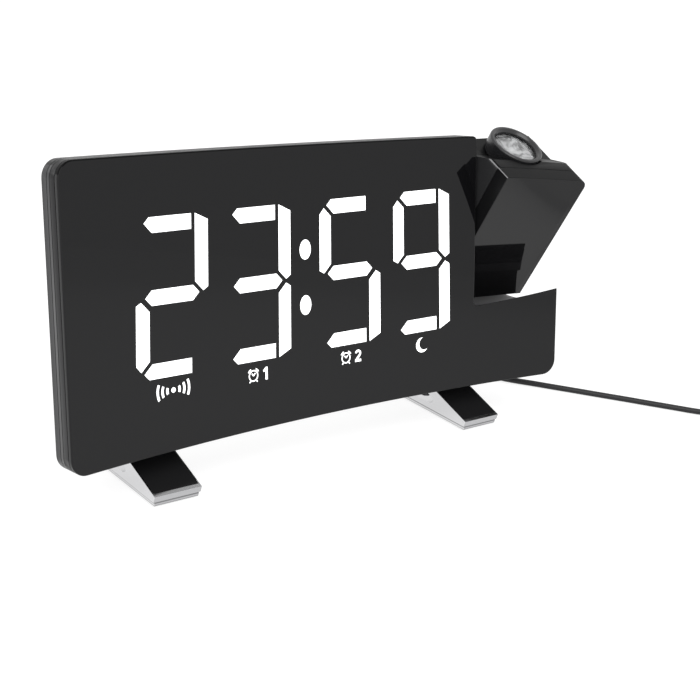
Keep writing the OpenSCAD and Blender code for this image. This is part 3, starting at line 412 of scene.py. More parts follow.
def foot_shade_group(name):
    """Painted shadow lines along the foot's plinth, and painted shade in its narrow steps."""
    group, ins, outs = node_group(
        name, {"Vector": "Vector", "Colour": "Color"}, {"Colour": "Color"})
    link = group.links.new
    # painted shade: occlusion darkens the colour in the foot's narrow steps
    shade = add(group, "ShaderNodeAmbientOcclusion", samples=8, Distance=0.9 * MM)
    depth = ranged(group, shade.outputs["AO"], From_Min=0.4, From_Max=1.0, To_Min=0.12)
    apart = add(group, "ShaderNodeSeparateXYZ")
    link(ins["Vector"], apart.inputs[0])
    lines = group.nodes.new("ShaderNodeValToRGB")
    ramp = lines.color_ramp
    while len(ramp.elements) < len(FOOT_SHADOW_LINES):
        ramp.elements.new(0.5)
    for element, (height, level) in zip(ramp.elements, FOOT_SHADOW_LINES):
        element.position = height / FOOT_SHADOW_LINES_TOP
        element.color = (level, level, level, 1)
    link(ranged(group, apart.outputs["Z"], From_Max=FOOT_SHADOW_LINES_TOP * MM), lines.inputs["Fac"])
    both = multiply(group, depth)
    link(lines.outputs["Color"], both.inputs[MIX_A])
    dark = multiply(group, both.outputs[MIX_RESULT])
    link(ins["Colour"], dark.inputs[MIX_A])
    link(dark.outputs[MIX_RESULT], outs["Colour"])
    return group


def effect(tree, where, name, build, **values):
    """A shared effect in a material; its node group is built the first time."""
    group = bpy.data.node_groups.get(name) or build(name)
    made = add(tree, "ShaderNodeGroup", node_tree=group, **values)
    tree.links.new(where, made.inputs["Vector"])
    return made


def rgba(colour):
    return (*colour, 1.0)


def new_material(name, colour, **shader_values):
    """A material with a Principled shader and Object coordinates."""
    material = bpy.data.materials.new(name)
    material.use_nodes = True
    tree = material.node_tree
    shader = tree.nodes["Principled BSDF"]
    shader.inputs["Base Color"].default_value = rgba(colour)
    for key, value in shader_values.items():
        shader.inputs[key.replace("_", " ")].default_value = value
    where = tree.nodes.new("ShaderNodeTexCoord").outputs["Object"]
    return material, tree, shader, where


def once(build):
    """Lets a material be built the first time its name comes up, and found after that."""
    def find(name, *args, **values):
        return bpy.data.materials.get(name) or build(name, *args, **values)
    return find


@once
def gloss(name, colour, level=0.25, base=0.03, amount=0.03):
    """Polished plastic: smears change its roughness, wipe marks barely show."""
    material, tree, shader, where = new_material(name, colour, Specular_IOR_Level=level)
    marks = effect(tree, where, "polish marks", polish_group, Amount=amount, Base=base)
    tree.links.new(marks.outputs["Roughness"], shader.inputs["Roughness"])
    dent(tree, shader, marks.outputs["Height"], strength=0.02, distance=0.02 * MM)
    return material


@once
def satin(name, colour, rough=0.42, level=0.4, bump=0.25):
    """Moulded plastic or rubber with a fine grain."""
    material, tree, shader, where = new_material(name, colour, Specular_IOR_Level=level)
    grain = effect(tree, where, "moulded grain", grain_group)
    sheen = ranged(tree, grain.outputs["Mask"], To_Min=rough - SATIN_SPREAD,
                   To_Max=rough + SATIN_SPREAD)
    tree.links.new(sheen, shader.inputs["Roughness"])
    dent(tree, shader, grain.outputs["Height"], strength=bump, distance=0.04 * MM)
    return material


@once
def metal(name, colour, rough=0.08, spread=0.08, stretch=(1, 1, 1), foot=False):
    """Plated or drawn metal, brushed along the axis with the smallest stretch.

    A foot's metal also has painted shadow lines and painted shade in its steps.
    """
    material, tree, shader, where = new_material(name, colour, Metallic=1.0)
    along = add(tree, "ShaderNodeMapping", Scale=stretch)
    tree.links.new(where, along.inputs["Vector"])
    brush = noise(tree, along.outputs["Vector"], Scale=300.0, Detail=3.0, Roughness=0.6)
    sheen = ranged(tree, brush, To_Min=rough, To_Max=rough + spread)
    tree.links.new(sheen, shader.inputs["Roughness"])
    dent(tree, shader, brush, strength=0.03, distance=0.03 * MM)
    # painted shade and painted shadow lines in the foot's colour
    if foot:
        shade = effect(tree, where, "foot shade", foot_shade_group, Colour=rgba(colour))
        tree.links.new(shade.outputs["Colour"], shader.inputs["Base Color"])
    return material


@once
def lit(name, colour, strength):
    """A lit light guide, whose tint varies a little."""
    material, tree, shader, where = new_material(
        name, colour, Roughness=0.08, Specular_IOR_Level=0.25, Emission_Strength=strength)
    tint = add(tree, "ShaderNodeMix", data_type="RGBA")
    tint.inputs[MIX_A].default_value = COOL_WHITE
    tint.inputs[MIX_B].default_value = rgba(colour)
    tree.links.new(noise(tree, where, Scale=60.0, Detail=1.0), tint.inputs[MIX_FACTOR])
    tree.links.new(tint.outputs[MIX_RESULT], shader.inputs["Emission Color"])
    return material


@once
def clear(name, tint=(1, 1, 1), haze=0.02, ripple=0.05, shade=1.0):
    """Optical plastic: clear and faintly rippled, with a haze that is darker in places."""
    material, tree, shader, where = new_material(
        name, tint, Transmission_Weight=1 - haze, IOR=1.5)
    wave = noise(tree, where, Scale=420.0, Detail=1.0, Distortion=0.8)
    tree.links.new(ranged(tree, wave, To_Max=0.12 * haze), shader.inputs["Roughness"])
    cloud = noise(tree, where, Scale=95.0, Detail=2.0, Distortion=2.5)
    base = multiply(tree, ranged(tree, cloud, From_Min=0.42, From_Max=0.6, To_Min=shade))
    base.inputs[MIX_A].default_value = rgba(tint)
    tree.links.new(base.outputs[MIX_RESULT], shader.inputs["Base Color"])
    dent(tree, shader, wave, strength=ripple, distance=0.3 * MM)
    return material


def lens_black():
    return gloss("tinted acrylic", colours().lens, base=0.02, amount=0.02)


def shell_black():
    return satin("satin housing", colours().shell)


# ---------- camera ----------

CAMERA_AT_MM = (-249.407, -304.247, 109.203)   # in case space
CAMERA_YAW = 39.42
CAMERA_PITCH = 12.51
CAMERA_ROLL = -0.19
CAMERA_LENS = 67.36
CAMERA_SENSOR = 36
CAMERA_NEAR = 0.01


class ClockCamera(bpy.types.Operator):
    """Adds the camera at the height and angle of someone looking down at the clock"""

    bl_idname = "clock.camera"
    bl_label = "Camera"

    def execute(self, context):
        deselect()
        bpy.ops.object.camera_add()
        camera = context.object
        camera.name = "camera"
        camera.data.lens = CAMERA_LENS
        camera.data.sensor_width = CAMERA_SENSOR
        camera.data.clip_start = CAMERA_NEAR
        turn = (
            Matrix.Rotation(math.radians(-CAMERA_YAW), 4, "Z")
            @ Matrix.Rotation(math.radians(90 - CAMERA_PITCH), 4, "X")
            @ Matrix.Rotation(math.radians(CAMERA_ROLL), 4, "Z")
        )
        camera.matrix_world = CASE @ Matrix.Translation(Vector(CAMERA_AT_MM) * MM) @ turn
        context.scene.camera = camera
        return {"FINISHED"}


# ---------- lead ----------


def coil_points():
    """Turns of the stored coil: layers that wind in, then out, each a diameter higher."""
    inner = COIL_R_MM - (COIL_ROWS - 1) * CORD_MM / 2
    outer = COIL_R_MM + (COIL_ROWS - 1) * CORD_MM / 2
    stages = []
    for layer in range(COIL_LAYERS):
        ends = (outer, inner) if layer % 2 == 0 else (inner, outer)
        stages.append((COIL_ROWS - 1, *ends, layer, layer))
        if layer < COIL_LAYERS - 1:
            stages.append((COIL_CLIMB, ends[1], ends[1], layer, layer + 1))
    points = []
    angle = math.radians(COIL_ENTRY)
    for turns, r0, r1, low, high in stages:
        count = round(turns * COIL_STEPS)
        for i in range(count):
            share = i / count
            radius = r0 + (r1 - r0) * share
            rise = math.sin(share * math.pi / 2) ** COIL_EASE if high > low else 0
            z = CORD_MM * (low + rise + 0.5)
            points.append((COIL_AT_MM[0] + radius * math.cos(angle),
                           COIL_AT_MM[1] + radius * math.sin(angle), z))
            angle -= math.tau * turns / count
    return points


class ClockLead(bpy.types.Operator):
    """Adds the lead from its plug in the rear of the case to the stored coil and its USB plug"""

    bl_idname = "clock.lead"
    bl_label = "Lead"

    def execute(self, context):
        vinyl = satin("cord vinyl", colours().cord, rough=0.45, level=0.35, bump=0.1)
        start = CASE @ (Vector(PLUG_END_MM) * MM)
        run = [start] + [Vector(p) * MM for p in CORD_POINTS_MM]
        coil = [Vector(p) * MM for p in coil_points()]
        tail = [Vector(p) * MM for p in TAIL_POINTS_MM]
        points = run + coil + tail
        curve = bpy.data.curves.new("cord", "CURVE")
        curve.dimensions = "3D"
        curve.resolution_u = 3
        spline = curve.splines.new("BEZIER")
        spline.bezier_points.add(len(points) - 1)
        for point, place_at in zip(spline.bezier_points, points):
            point.co = place_at
            point.handle_left_type = point.handle_right_type = "AUTO"
        curve.bevel_depth = CORD_MM * MM / 2
        curve.bevel_resolution = 3
        curve.use_fill_caps = True
        cord = bpy.data.objects.new("cord", curve)
        context.scene.collection.objects.link(cord)
        curve.materials.append(vinyl)
        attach(cord, "case")
        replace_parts(cord, "cord_run", "cord_coil", "cord_tail")
        plug = dress("dc_plug", "power_plug", "case", vinyl)
        usb = dress("usb_plug", "charger_plug", "case", vinyl, width=0.6 * MM)
        shell = dress("usb_plug_shell", "charger_plug_shell", "case",
                      metal("plug plating", (0.75, 0.75, 0.76), rough=0.2),
                      width=0.1 * MM)
        for piece in cord, plug, usb, shell:
            piece.visible_glossy = False    # the coil would show in the glossy front
        return {"FINISHED"}


# ---------- stage ----------

FLOOR_SIZE = 6.0
FLOOR_PAPER = (0.3, 0.3, 0.3, 1)    # the part of the floor's white that shadows reach
FLOOR_GLOW = 0.8        # and the part that they don't
WORLD_LEVEL = 0.8
LAMPS_AIM = Vector((0, 0, 0.05))
LAMPS = (
    # name, place, size, power, shows in gloss
    ("key", (-0.5, -0.7, 0.9), 0.9, 8.0, True),
    ("fill", (0.9, -0.5, 0.8), 0.9, 3.0, False),
    ("rear", (-0.4, 0.8, 0.9), 0.8, 5.0, False),
)


def seen_directly(tree):
    """1 for rays from the camera, or by way of a reflection or glass."""
    path = tree.nodes.new("ShaderNodeLightPath")
    either = add(tree, "ShaderNodeMath", operation="MAXIMUM")
    any_of = add(tree, "ShaderNodeMath", operation="MAXIMUM")
    tree.links.new(path.outputs["Is Camera Ray"], either.inputs[0])
    tree.links.new(path.outputs["Is Glossy Ray"], either.inputs[1])
    tree.links.new(either.outputs["Value"], any_of.inputs[0])
    tree.links.new(path.outputs["Is Transmission Ray"], any_of.inputs[1])
    return any_of.outputs["Value"]


class ClockStage(bpy.types.Operator):
    """Adds the white floor, the world and the soft lamps"""

    bl_idname = "clock.stage"
    bl_label = "Stage"

    def execute(self, context):
        self.floor()
        self.world(context)
        for name, at, size, power, shows in LAMPS:
            bpy.ops.object.light_add(type="AREA", location=at)
            lamp = context.object
            lamp.name = name
            lamp.data.size = size
            lamp.data.energy = power
            lamp.rotation_euler = (LAMPS_AIM - Vector(at)).to_track_quat("-Z", "Y").to_euler()
            lamp.visible_glossy = shows
        context.scene.view_settings.view_transform = "Standard"
        return {"FINISHED"}

    def floor(self):
        """White wherever it is seen, with a soft shadow under the clock."""
        deselect()
        bpy.ops.mesh.primitive_plane_add(size=FLOOR_SIZE)
        floor = new_piece("floor")
        material, tree, shader, _ = new_material(
            "floor white", (0.9, 0.9, 0.9), Roughness=0.9, Specular_IOR_Level=0.0)
        paper = add(tree, "ShaderNodeBsdfDiffuse", Color=FLOOR_PAPER)
        glow = add(tree, "ShaderNodeEmission", Strength=FLOOR_GLOW)
        both = tree.nodes.new("ShaderNodeAddShader")
        mix = tree.nodes.new("ShaderNodeMixShader")
        out = tree.nodes["Material Output"]
        link = tree.links.new
        link(paper.outputs["BSDF"], both.inputs[0])
        link(glow.outputs["Emission"], both.inputs[1])
        link(seen_directly(tree), mix.inputs["Fac"])
        link(shader.outputs["BSDF"], mix.inputs[1])
        link(both.outputs["Shader"], mix.inputs[2])
        link(mix.outputs["Shader"], out.inputs["Surface"])
        floor.data.materials.append(material)

    def world(self, context):
        """White wherever it is seen, and a little dimmer as a light."""
        world = bpy.data.worlds.new("studio")
        context.scene.world = world
        world.use_nodes = True
        tree = world.node_tree
        tree.nodes.clear()
        out = tree.nodes.new("ShaderNodeOutputWorld")
        seen = add(tree, "ShaderNodeBackground", Color=WHITE, Strength=1.0)
        light = add(tree, "ShaderNodeBackground", Color=WHITE, Strength=WORLD_LEVEL)
        mix = tree.nodes.new("ShaderNodeMixShader")
        link = tree.links.new
        link(seen_directly(tree), mix.inputs["Fac"])
        link(light.outputs["Background"], mix.inputs[1])
        link(seen.outputs["Background"], mix.inputs[2])
        link(mix.outputs["Shader"], out.inputs["Surface"])


# ---------- display ----------

LAYER_EDGE = 60         # degrees: sharper edges of a layer are rounded
LAYER_SMOOTH = 40       # degrees: flatter edges of a layer are shaded smooth
SHEET_FACE = 0.99       # least cosine to the front's curve of a face that isn't its edge
SHEET_ABOVE = 0.35      # least rise of the normal of a face on the sheet's upper edge
WAVE_AT = (-59.7 * MM, 18 * MM)
ALARM_ONE_AT = (-28.2 * MM, 17 * MM)
ALARM_TWO_AT = (8.2 * MM, 17 * MM)
MOON_AT = (37.6 * MM, 17 * MM)


def slice_up(piece, low, high, step):
    """Cuts a flat mesh into strips across X, so that it can be curved."""
    count = max(1, round((high - low) / step))
    with editing(piece):
        for i in range(1, count):
            cut((low + (high - low) * i / count, 0, 0), (1, 0, 0))


def round_edge_z(x, depth, radius):
    """Height of an edge that is round about the pivot, on the layer at this depth."""
    drop = PIVOT_IN_CASE.y - face_y(x, depth)
    return PIVOT_IN_CASE.z - math.sqrt(radius ** 2 - drop * drop)


def upright_sheet(name, left, right, low, high):
    """A flat rectangle that faces the reader."""
    bpy.ops.mesh.primitive_plane_add(size=1, rotation=(math.pi / 2, 0, 0),
                                     location=((left + right) / 2, 0, (low + high) / 2))
    piece = new_piece(name)
    piece.scale = (right - left, high - low, 1)
    bpy.ops.object.transform_apply(location=True, rotation=True, scale=True)
    return piece


def flat_front(name, inset, band=0.0):
    """The L-shaped outline of the front, flat and in strips: a full sheet, or a band."""
    half, corner = WIDTH / 2 - inset, CUT_X - inset
    piece = upright_sheet(name, -half, half, inset, HEIGHT - inset)
    with editing(piece):
        cut((corner, 0, 0), (1, 0, 0))
        cut((0, 0, CUT_Z), (0, 0, 1))
        choose(piece, "faces", lambda f: f.calc_center_median().x > corner
               and f.calc_center_median().z > CUT_Z)
        bpy.ops.mesh.delete(type="FACE")
        bpy.ops.mesh.select_all(action="SELECT")
        bpy.ops.mesh.dissolve_limited(angle_limit=WELD_ANGLE)
        choose(piece, "verts", lambda v: abs(abs(v.co.x) - half) < TINY
               and abs(abs(v.co.z - HEIGHT / 2) - HEIGHT / 2 + inset) < TINY)
        bpy.ops.mesh.bevel(offset=CORNER_R - inset, segments=10, affect="VERTICES")
        choose(piece, "verts", lambda v: abs(v.co.x - corner) < TINY
               and (v.co.z > TOP_EDGE or abs(v.co.z - CUT_Z) < TINY))
        bpy.ops.mesh.bevel(offset=CUT_CORNER_R, segments=5, affect="VERTICES")
        if band:
            bpy.ops.mesh.select_all(action="SELECT")
            bpy.ops.mesh.inset(thickness=band, depth=0)
            bpy.ops.mesh.delete(type="FACE")
    slice_up(piece, -half, half, sizes().slice)
    return piece


def curved_layer(name, inset, front, back, edge=0.0, band=0.0, segments=2):
    """A solid layer of the L-shaped case between two depths behind the front."""
    piece = flat_front(name, inset, band)
    modify(piece, "SOLIDIFY", thickness=back - front, offset=-1)
    low = CUT_X - inset - band - TINY
    for vertex in piece.data.vertices:
        x, y, z = vertex.co
        depth = front if y < (back - front) / 2 else back
        if x > low and CUT_Z - band - TINY < z < CUT_Z + CUT_CORNER_R + TINY:
            z += round_edge_z(x, depth, CRADLE_R + inset) - CUT_Z
        vertex.co = (x, face_y(x, depth), z)
    face_outward(piece)
    if edge:
        soften(piece, edge, segments, degrees=LAYER_EDGE)
    smooth(piece, LAYER_SMOOTH)
    return piece


class ClockDisplay(bpy.types.Operator):
    """Adds the tinted front with its polished edge, the lit digits and the marks under them"""

    bl_idname = "clock.display"
    bl_label = "Display"

    def execute(self, context):
        self.front()
        glow = lit("lit segment", colours().lit, 1.0)
        dress("segments_lit", "digits", "case", glow, width=0)
        dress("colon_dots", "colon", "case", glow, width=0)
        wave_mark(*WAVE_AT, glow)
        alarm_mark("alarm_one", numeral_one, *ALARM_ONE_AT, glow)
        alarm_mark("alarm_two", numeral_two, *ALARM_TWO_AT, glow)
        moon_mark(*MOON_AT, glow)
        return {"FINISHED"}

    def front(self):
        """One continuous curved sheet in front of the light guides, with a duller edge and painted
        shade on its upper edge.
        """
        piece = curved_layer("display_front", -RIM_PROUD, SHEET_SINK, LENS_T, sizes().polish,
                             segments=3)
        edge = satin("lens edge", (0.012, 0.012, 0.0125), rough=0.35, level=0.16, bump=0.05)
        above = satin("lens edge above", (0.004, 0.004, 0.0042), rough=0.35, level=0.04, bump=0.05)
        place(piece, CASE, "case", lens_black())
        upright = CASE.inverted()
        turned = upright.to_3x3()

        def sideways(face):
            x = (upright @ face.center).x
            ahead = Vector((-x, -math.sqrt(FACE_R * FACE_R - x * x), 0)) / FACE_R
            return (turned @ face.normal).dot(ahead) < SHEET_FACE

        paint(piece, edge, sideways)
        # painted shade: the sheet's upper edge gets a darker, duller copy of its edge
        paint(piece, above, on_top(SHEET_ABOVE))
        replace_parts(piece, "front_lens", "segments_unlit")


# ---------- flat marks ----------

MARK_T = 0.06 * MM
MARK_SLICE = 1.2 * MM
DOT_STEP = 15           # degrees between the points of a round dot


def join(pieces, name):
    """One piece under this name from one or several."""
    deselect()
    for piece in pieces:
        piece.select_set(True)
    bpy.context.view_layer.objects.active = pieces[0]
    if len(pieces) > 1:
        bpy.ops.object.join()
    return new_piece(name)


def finish_mark(piece, body, material, surface):
    """Thickens a flat mark and lays it on a surface, which is a function from X to Y."""
    modify(piece, "SOLIDIFY", thickness=MARK_T, offset=0)
    for vertex in piece.data.vertices:
        vertex.co.y += surface(vertex.co.x)
    face_outward(piece)
    place(piece, CASE, body, material)


def display_mark(name, parts, glow):
    """A lit mark on the curved front."""
    piece = join(parts, name)
    across = [vertex.co.x for vertex in piece.data.vertices]
    slice_up(piece, min(across), max(across), MARK_SLICE)
    finish_mark(piece, "case", glow, lambda x: face_y(x, -RIM_PROUD))


def around(x, z, *offsets_mm):
    """Points at these distances in mm, across and up, from the point (x, z)."""
    return [(x + across * MM, z + up * MM) for across, up in offsets_mm]


def polar(x, z, radius, degrees):
    """The point at this angle on a circle."""
    angle = math.radians(degrees)
    return x + radius * math.cos(angle), z + radius * math.sin(angle)


def arc(x, z, radius, start, end, steps):
    """Points on an arc between two angles in degrees."""
    return [polar(x, z, radius, start + (end - start) * i / steps) for i in range(steps + 1)]


def flat_outline(points):
    """A flat face through these points (x, z), facing the reader."""
    bpy.ops.mesh.primitive_circle_add(vertices=len(points), radius=1, fill_type="NGON")
    piece = bpy.context.object
    for vertex, (x, z) in zip(piece.data.vertices, points):
        vertex.co = (x, 0, z)
    return piece


def dot(x, z, radius):
    """A flat round dot."""
    return flat_outline(arc(x, z, radius, 0, 360 - DOT_STEP, 360 // DOT_STEP - 1))


def arc_strip(x, z, radius, width, start, end, steps=16):
    """A flat arc of this width between two angles in degrees."""
    outside = arc(x, z, radius + width / 2, start, end, steps)
    inside = arc(x, z, radius - width / 2, start, end, steps)
    return flat_outline(outside + inside[::-1])


def bar(ends, width):
    """A flat bar between two points (x, z)."""
    (x0, z0), (x1, z1) = ends
    along = Vector((x1 - x0, z1 - z0)).normalized() * width / 2
    return flat_outline([(x0 + along.y, z0 - along.x), (x1 + along.y, z1 - along.x),
                         (x1 - along.y, z1 + along.x), (x0 - along.y, z0 + along.x)])


def numeral_one(x, z):
    """A bold 1, 3.9 mm tall."""
    return flat_outline(around(x, z, (0.9, 0), (1.7, 0), (1.7, 3.9), (1.0, 3.9), (0, 2.95),
                               (0.25, 2.45), (0.9, 2.95)))


def numeral_two(x, z):
    """A bold 2, 3.9 mm tall."""
    (bow_x, bow_z), *base = around(x, z, (1.2, 2.7), (1.15, 0.8), (2.4, 0.8), (2.4, 0), (0, 0),
                                   (0, 0.7))
    outside = arc(bow_x, bow_z, 1.2 * MM, 170, -35, 14)
    inside = arc(bow_x, bow_z, 0.52 * MM, 170, -35, 14)
    return flat_outline(outside + base + inside[::-1])


def wave_mark(x, z, glow):
    """A radio signal: a dot between pairs of arcs."""
    line, reach = 0.75 * MM, 24
    parts = [dot(x, z, line)]
    for radius in 2.2 * MM, 3.9 * MM, 5.6 * MM:
        for middle in 0, 180:
            parts.append(arc_strip(x, z, radius, line, middle - reach, middle + reach))
    display_mark("wave_mark", parts, glow)


def alarm_mark(name, numeral, x, z, glow):
    """A small alarm clock with bells, legs and hands, and its number beside it."""
    cx, line = x - 2.0 * MM, 0.36 * MM
    parts = [arc_strip(cx, z, 1.6 * MM, line, start, start + 180) for start in (0, 180)]
    parts += [bar(around(cx, z, (0, 0), (across, 0.75)), line) for across in (-0.6, 0.75)]
    for side in -1, 1:
        middle = 90 - side * 42
        parts.append(arc_strip(cx, z, 2.2 * MM, 0.42 * MM, middle - 17, middle + 17, 8))
        parts.append(bar(around(cx, z, (side * 1.0, -1.4), (side * 1.5, -2.0)), line))
    parts.append(numeral(x + 1.7 * MM, z - 1.9 * MM))
    display_mark(name, parts, glow)


def moon_mark(x, z, glow):
    """A crescent between two arcs."""
    big, small, shift, turn = 2.5 * MM, 2.15 * MM, 1.05 * MM, 25
    meet = (big * big - small * small + shift * shift) / (2 * shift)
    tip = math.degrees(math.acos(meet / big))
    tip_in = math.degrees(math.atan2(math.sqrt(big * big - meet * meet), meet - shift))
    outside = arc(0, 0, big, tip, 360 - tip, 36)
    inside = arc(shift, 0, small, 360 - tip_in, tip_in, 28)[1:-1]
    piece = flat_outline(outside + inside)
    piece.data.transform(Matrix.Translation((x, 0, z))
                         @ Matrix.Rotation(math.radians(-turn), 4, "Y"))
    display_mark("moon_mark", [piece], glow)


# ---------- case ----------

RIM_BAND = 2.6 * MM
RIM_LAYERS = (
    # name, front, back and edge radius in mm, share of RIM_PROUD, finish
    ("bezel_rim", 1.8, 4.3, 0.15, 1.0, "bezel"),
    ("front_groove", 4.2, 4.7, 0, 0.3, "groove"),
    ("middle_rim", 4.6, 5.85, 0.15, 1.0, "rim"),
    ("rear_groove", 5.75, 6.25, 0, 0.3, "groove"),
    ("rear_rim", 6.15, 8.75, 0.5, 1.0, "rim"),
)
# The rear rim's rounded edge between these normals gets a painted highlight.
ROUNDED_REAR = (0.25, 0.93)     # Y of the normals on the rear rim's rounded edge


class ClockCase(bpy.types.Operator):
    """Adds the two shells of the case and the crisp layers of their rim"""

    bl_idname = "clock.case"
    bl_label = "Case shells"

    def execute(self, context):
        shell = shell_black()
        dress("front_shell", "bezel", "case", shell, width=0)
        dress("rear_shell", "housing", "case", shell, width=0.3 * MM)
        finishes = {
            "bezel": satin("bezel plastic", (0.01, 0.01, 0.0108), rough=0.35, level=0.14,
                           bump=0.05),
            "groove": satin("groove shadow", (0.004, 0.004, 0.004), rough=0.6, level=0.1),
            "rim": satin("rim plastic", (0.024, 0.024, 0.0255), rough=0.3, level=0.28, bump=0.08),
        }
        # painted highlight: a light copy of the rim finish for the rear rim's rounded edge
        glint = satin("rubbed edge", (0.1, 0.1, 0.105), rough=0.3, bump=0.05)
        # painted shade: a darker copy of the rim's finish for the faces along the case's top edge
        top = satin("rim top", (0.008, 0.008, 0.0085), rough=0.35, level=0.16, bump=0.05)
        low, high = ROUNDED_REAR
        for name, front, back, edge, proud, finish in RIM_LAYERS:
            piece = curved_layer(name, -proud * RIM_PROUD, front * MM, back * MM, edge * MM,
                                 RIM_BAND)
            place(piece, CASE, "case", finishes[finish])
            if finish != "groove":
                # painted shade on the upward faces of the layer's top edge
                paint(piece, top, on_top(FACING))
            if name == "rear_rim":
                # painted highlight along the rear rim's rounded edge
                paint(piece, glint, lambda f: low < f.normal.y < high)
        return {"FINISHED"}


BOX_Y = 32 * MM
MARK_COLUMNS = (4 * MM, 22 * MM, 40 * MM)
MARK_ROWS = (52.2 * MM, 40.2 * MM)
DOOR_MARK = (-34 * MM, 23.5 * MM)


class ClockControls(bpy.types.Operator):
    """Finishes the keys, the snooze bar and the battery door, and adds the marks by them"""

    bl_idname = "clock.controls"
    bl_label = "Controls"

    def execute(self, context):
        rubber = satin("key rubber", (0.014, 0.014, 0.015), rough=0.6, level=0.3)
        for key in "mode", "set", "alarm", "up", "down", "projector":
            dress(f"key_{key}", f"{key}_key", f"key_{key}", rubber)
        dress("snooze_bar", "snooze_button", "snooze_bar", rubber, width=0.5 * MM)
        dress("battery_door", "battery_cover", "battery_door", shell_black(),
              width=0.15 * MM)
        self.marks()
        return {"FINISHED"}

    def marks(self):
        """Printed marks under the rear keys, and the arrow on the battery door."""
        ink = satin("mark ink", (0.42, 0.42, 0.43), rough=0.5, level=0.3)
        line = 0.4 * MM
        first, second, third = MARK_COLUMNS
        high, low = MARK_ROWS
        arrow = around(*DOOR_MARK, (-1.3, 0), (0, -1.5), (1.3, 0))
        shapes = {
            "mode_mark": [bar(around(first, high, (-1.4, up), (1.4, up)), line)
                          for up in (-0.9, 0, 0.9)],
            "set_mark": [arc_strip(second, high, 1.0 * MM, line, a, a + 180) for a in (0, 180)]
            + [bar([polar(second, high, r * MM, a) for r in (1.2, 1.7)], line)
               for a in range(0, 360, 60)],
            "bell_mark": [flat_outline(around(third, high, (-1.4, -0.8), (1.4, -0.8))
                                       + arc(third, high + 0.2 * MM, 0.9 * MM, 0, 180, 12)),
                          dot(third, high - 1.3 * MM, 0.35 * MM)],
            "up_mark": [flat_outline(around(first, low, (-1.2, -0.8), (1.2, -0.8), (0, 1.1)))],
            "down_mark": [flat_outline(around(second, low, (-1.2, 0.8), (0, -1.1), (1.2, 0.8)))],
            "projector_mark": [dot(third + 1.2 * MM, low, 0.6 * MM)]
            + [bar(around(third, low, (0.2, 0.45 * up), (-1.5, 1.2 * up)), line)
               for up in (-1, 0, 1)],
            "door_mark": [flat_outline(arrow)],
        }
        for name, parts in shapes.items():
            body = "battery_door" if name == "door_mark" else "case"
            finish_mark(join(parts, name), body, ink, lambda x: BOX_Y)


# ---------- feet ----------


class ClockFeet(bpy.types.Operator):
    """Adds the plated feet and their glossy strips"""

    bl_idname = "clock.feet"
    bl_label = "Feet"

    def execute(self, context):
        # The plating of the feet carries painted shadow lines and painted shade.
        chrome = metal("plated foot", (0.66, 0.66, 0.67), rough=0.1, spread=0.06, foot=True)
        # painted shade: a darker copy of the plating for the feet's front faces
        nose = metal("plated nose", (0.46, 0.46, 0.47), rough=0.1, spread=0.06, foot=True)
        strip = gloss("foot strip", (0.011, 0.011, 0.0115), level=0.07, base=0.1)
        for side in "left", "right":
            foot = dress(f"foot_{side}", f"{side}_foot", "case", chrome, width=0.3 * MM)
            # painted shade on the faces that look to the front
            paint(foot, nose, lambda f: f.normal.y < -FACING)
            dress(f"foot_insert_{side}", f"{side}_strip", "case", strip,
                  width=0.12 * MM)
        return {"FINISHED"}


# ---------- arm ----------

ARM_LEFT = 60.3 * MM
ARM_RIGHT = 95 * MM
ARM_R = 30.7 * MM       # of the rolled bottom, about the pivot
ARM_FRONT_T = 5.3 * MM
ARM_CORNERS = ((ARM_LEFT, 0.4 * MM), (ARM_RIGHT, 3 * MM))
ARM_EDGE = 0.2 * MM
# FACE_CORNER and HOUSING_CORNER pick the arm's top-left corner faces that get a painted highlight.
FACE_CORNER = 0.35      # least cosines, up and to the left, of the rubbed corner's faces
HOUSING_CORNER = 0.6


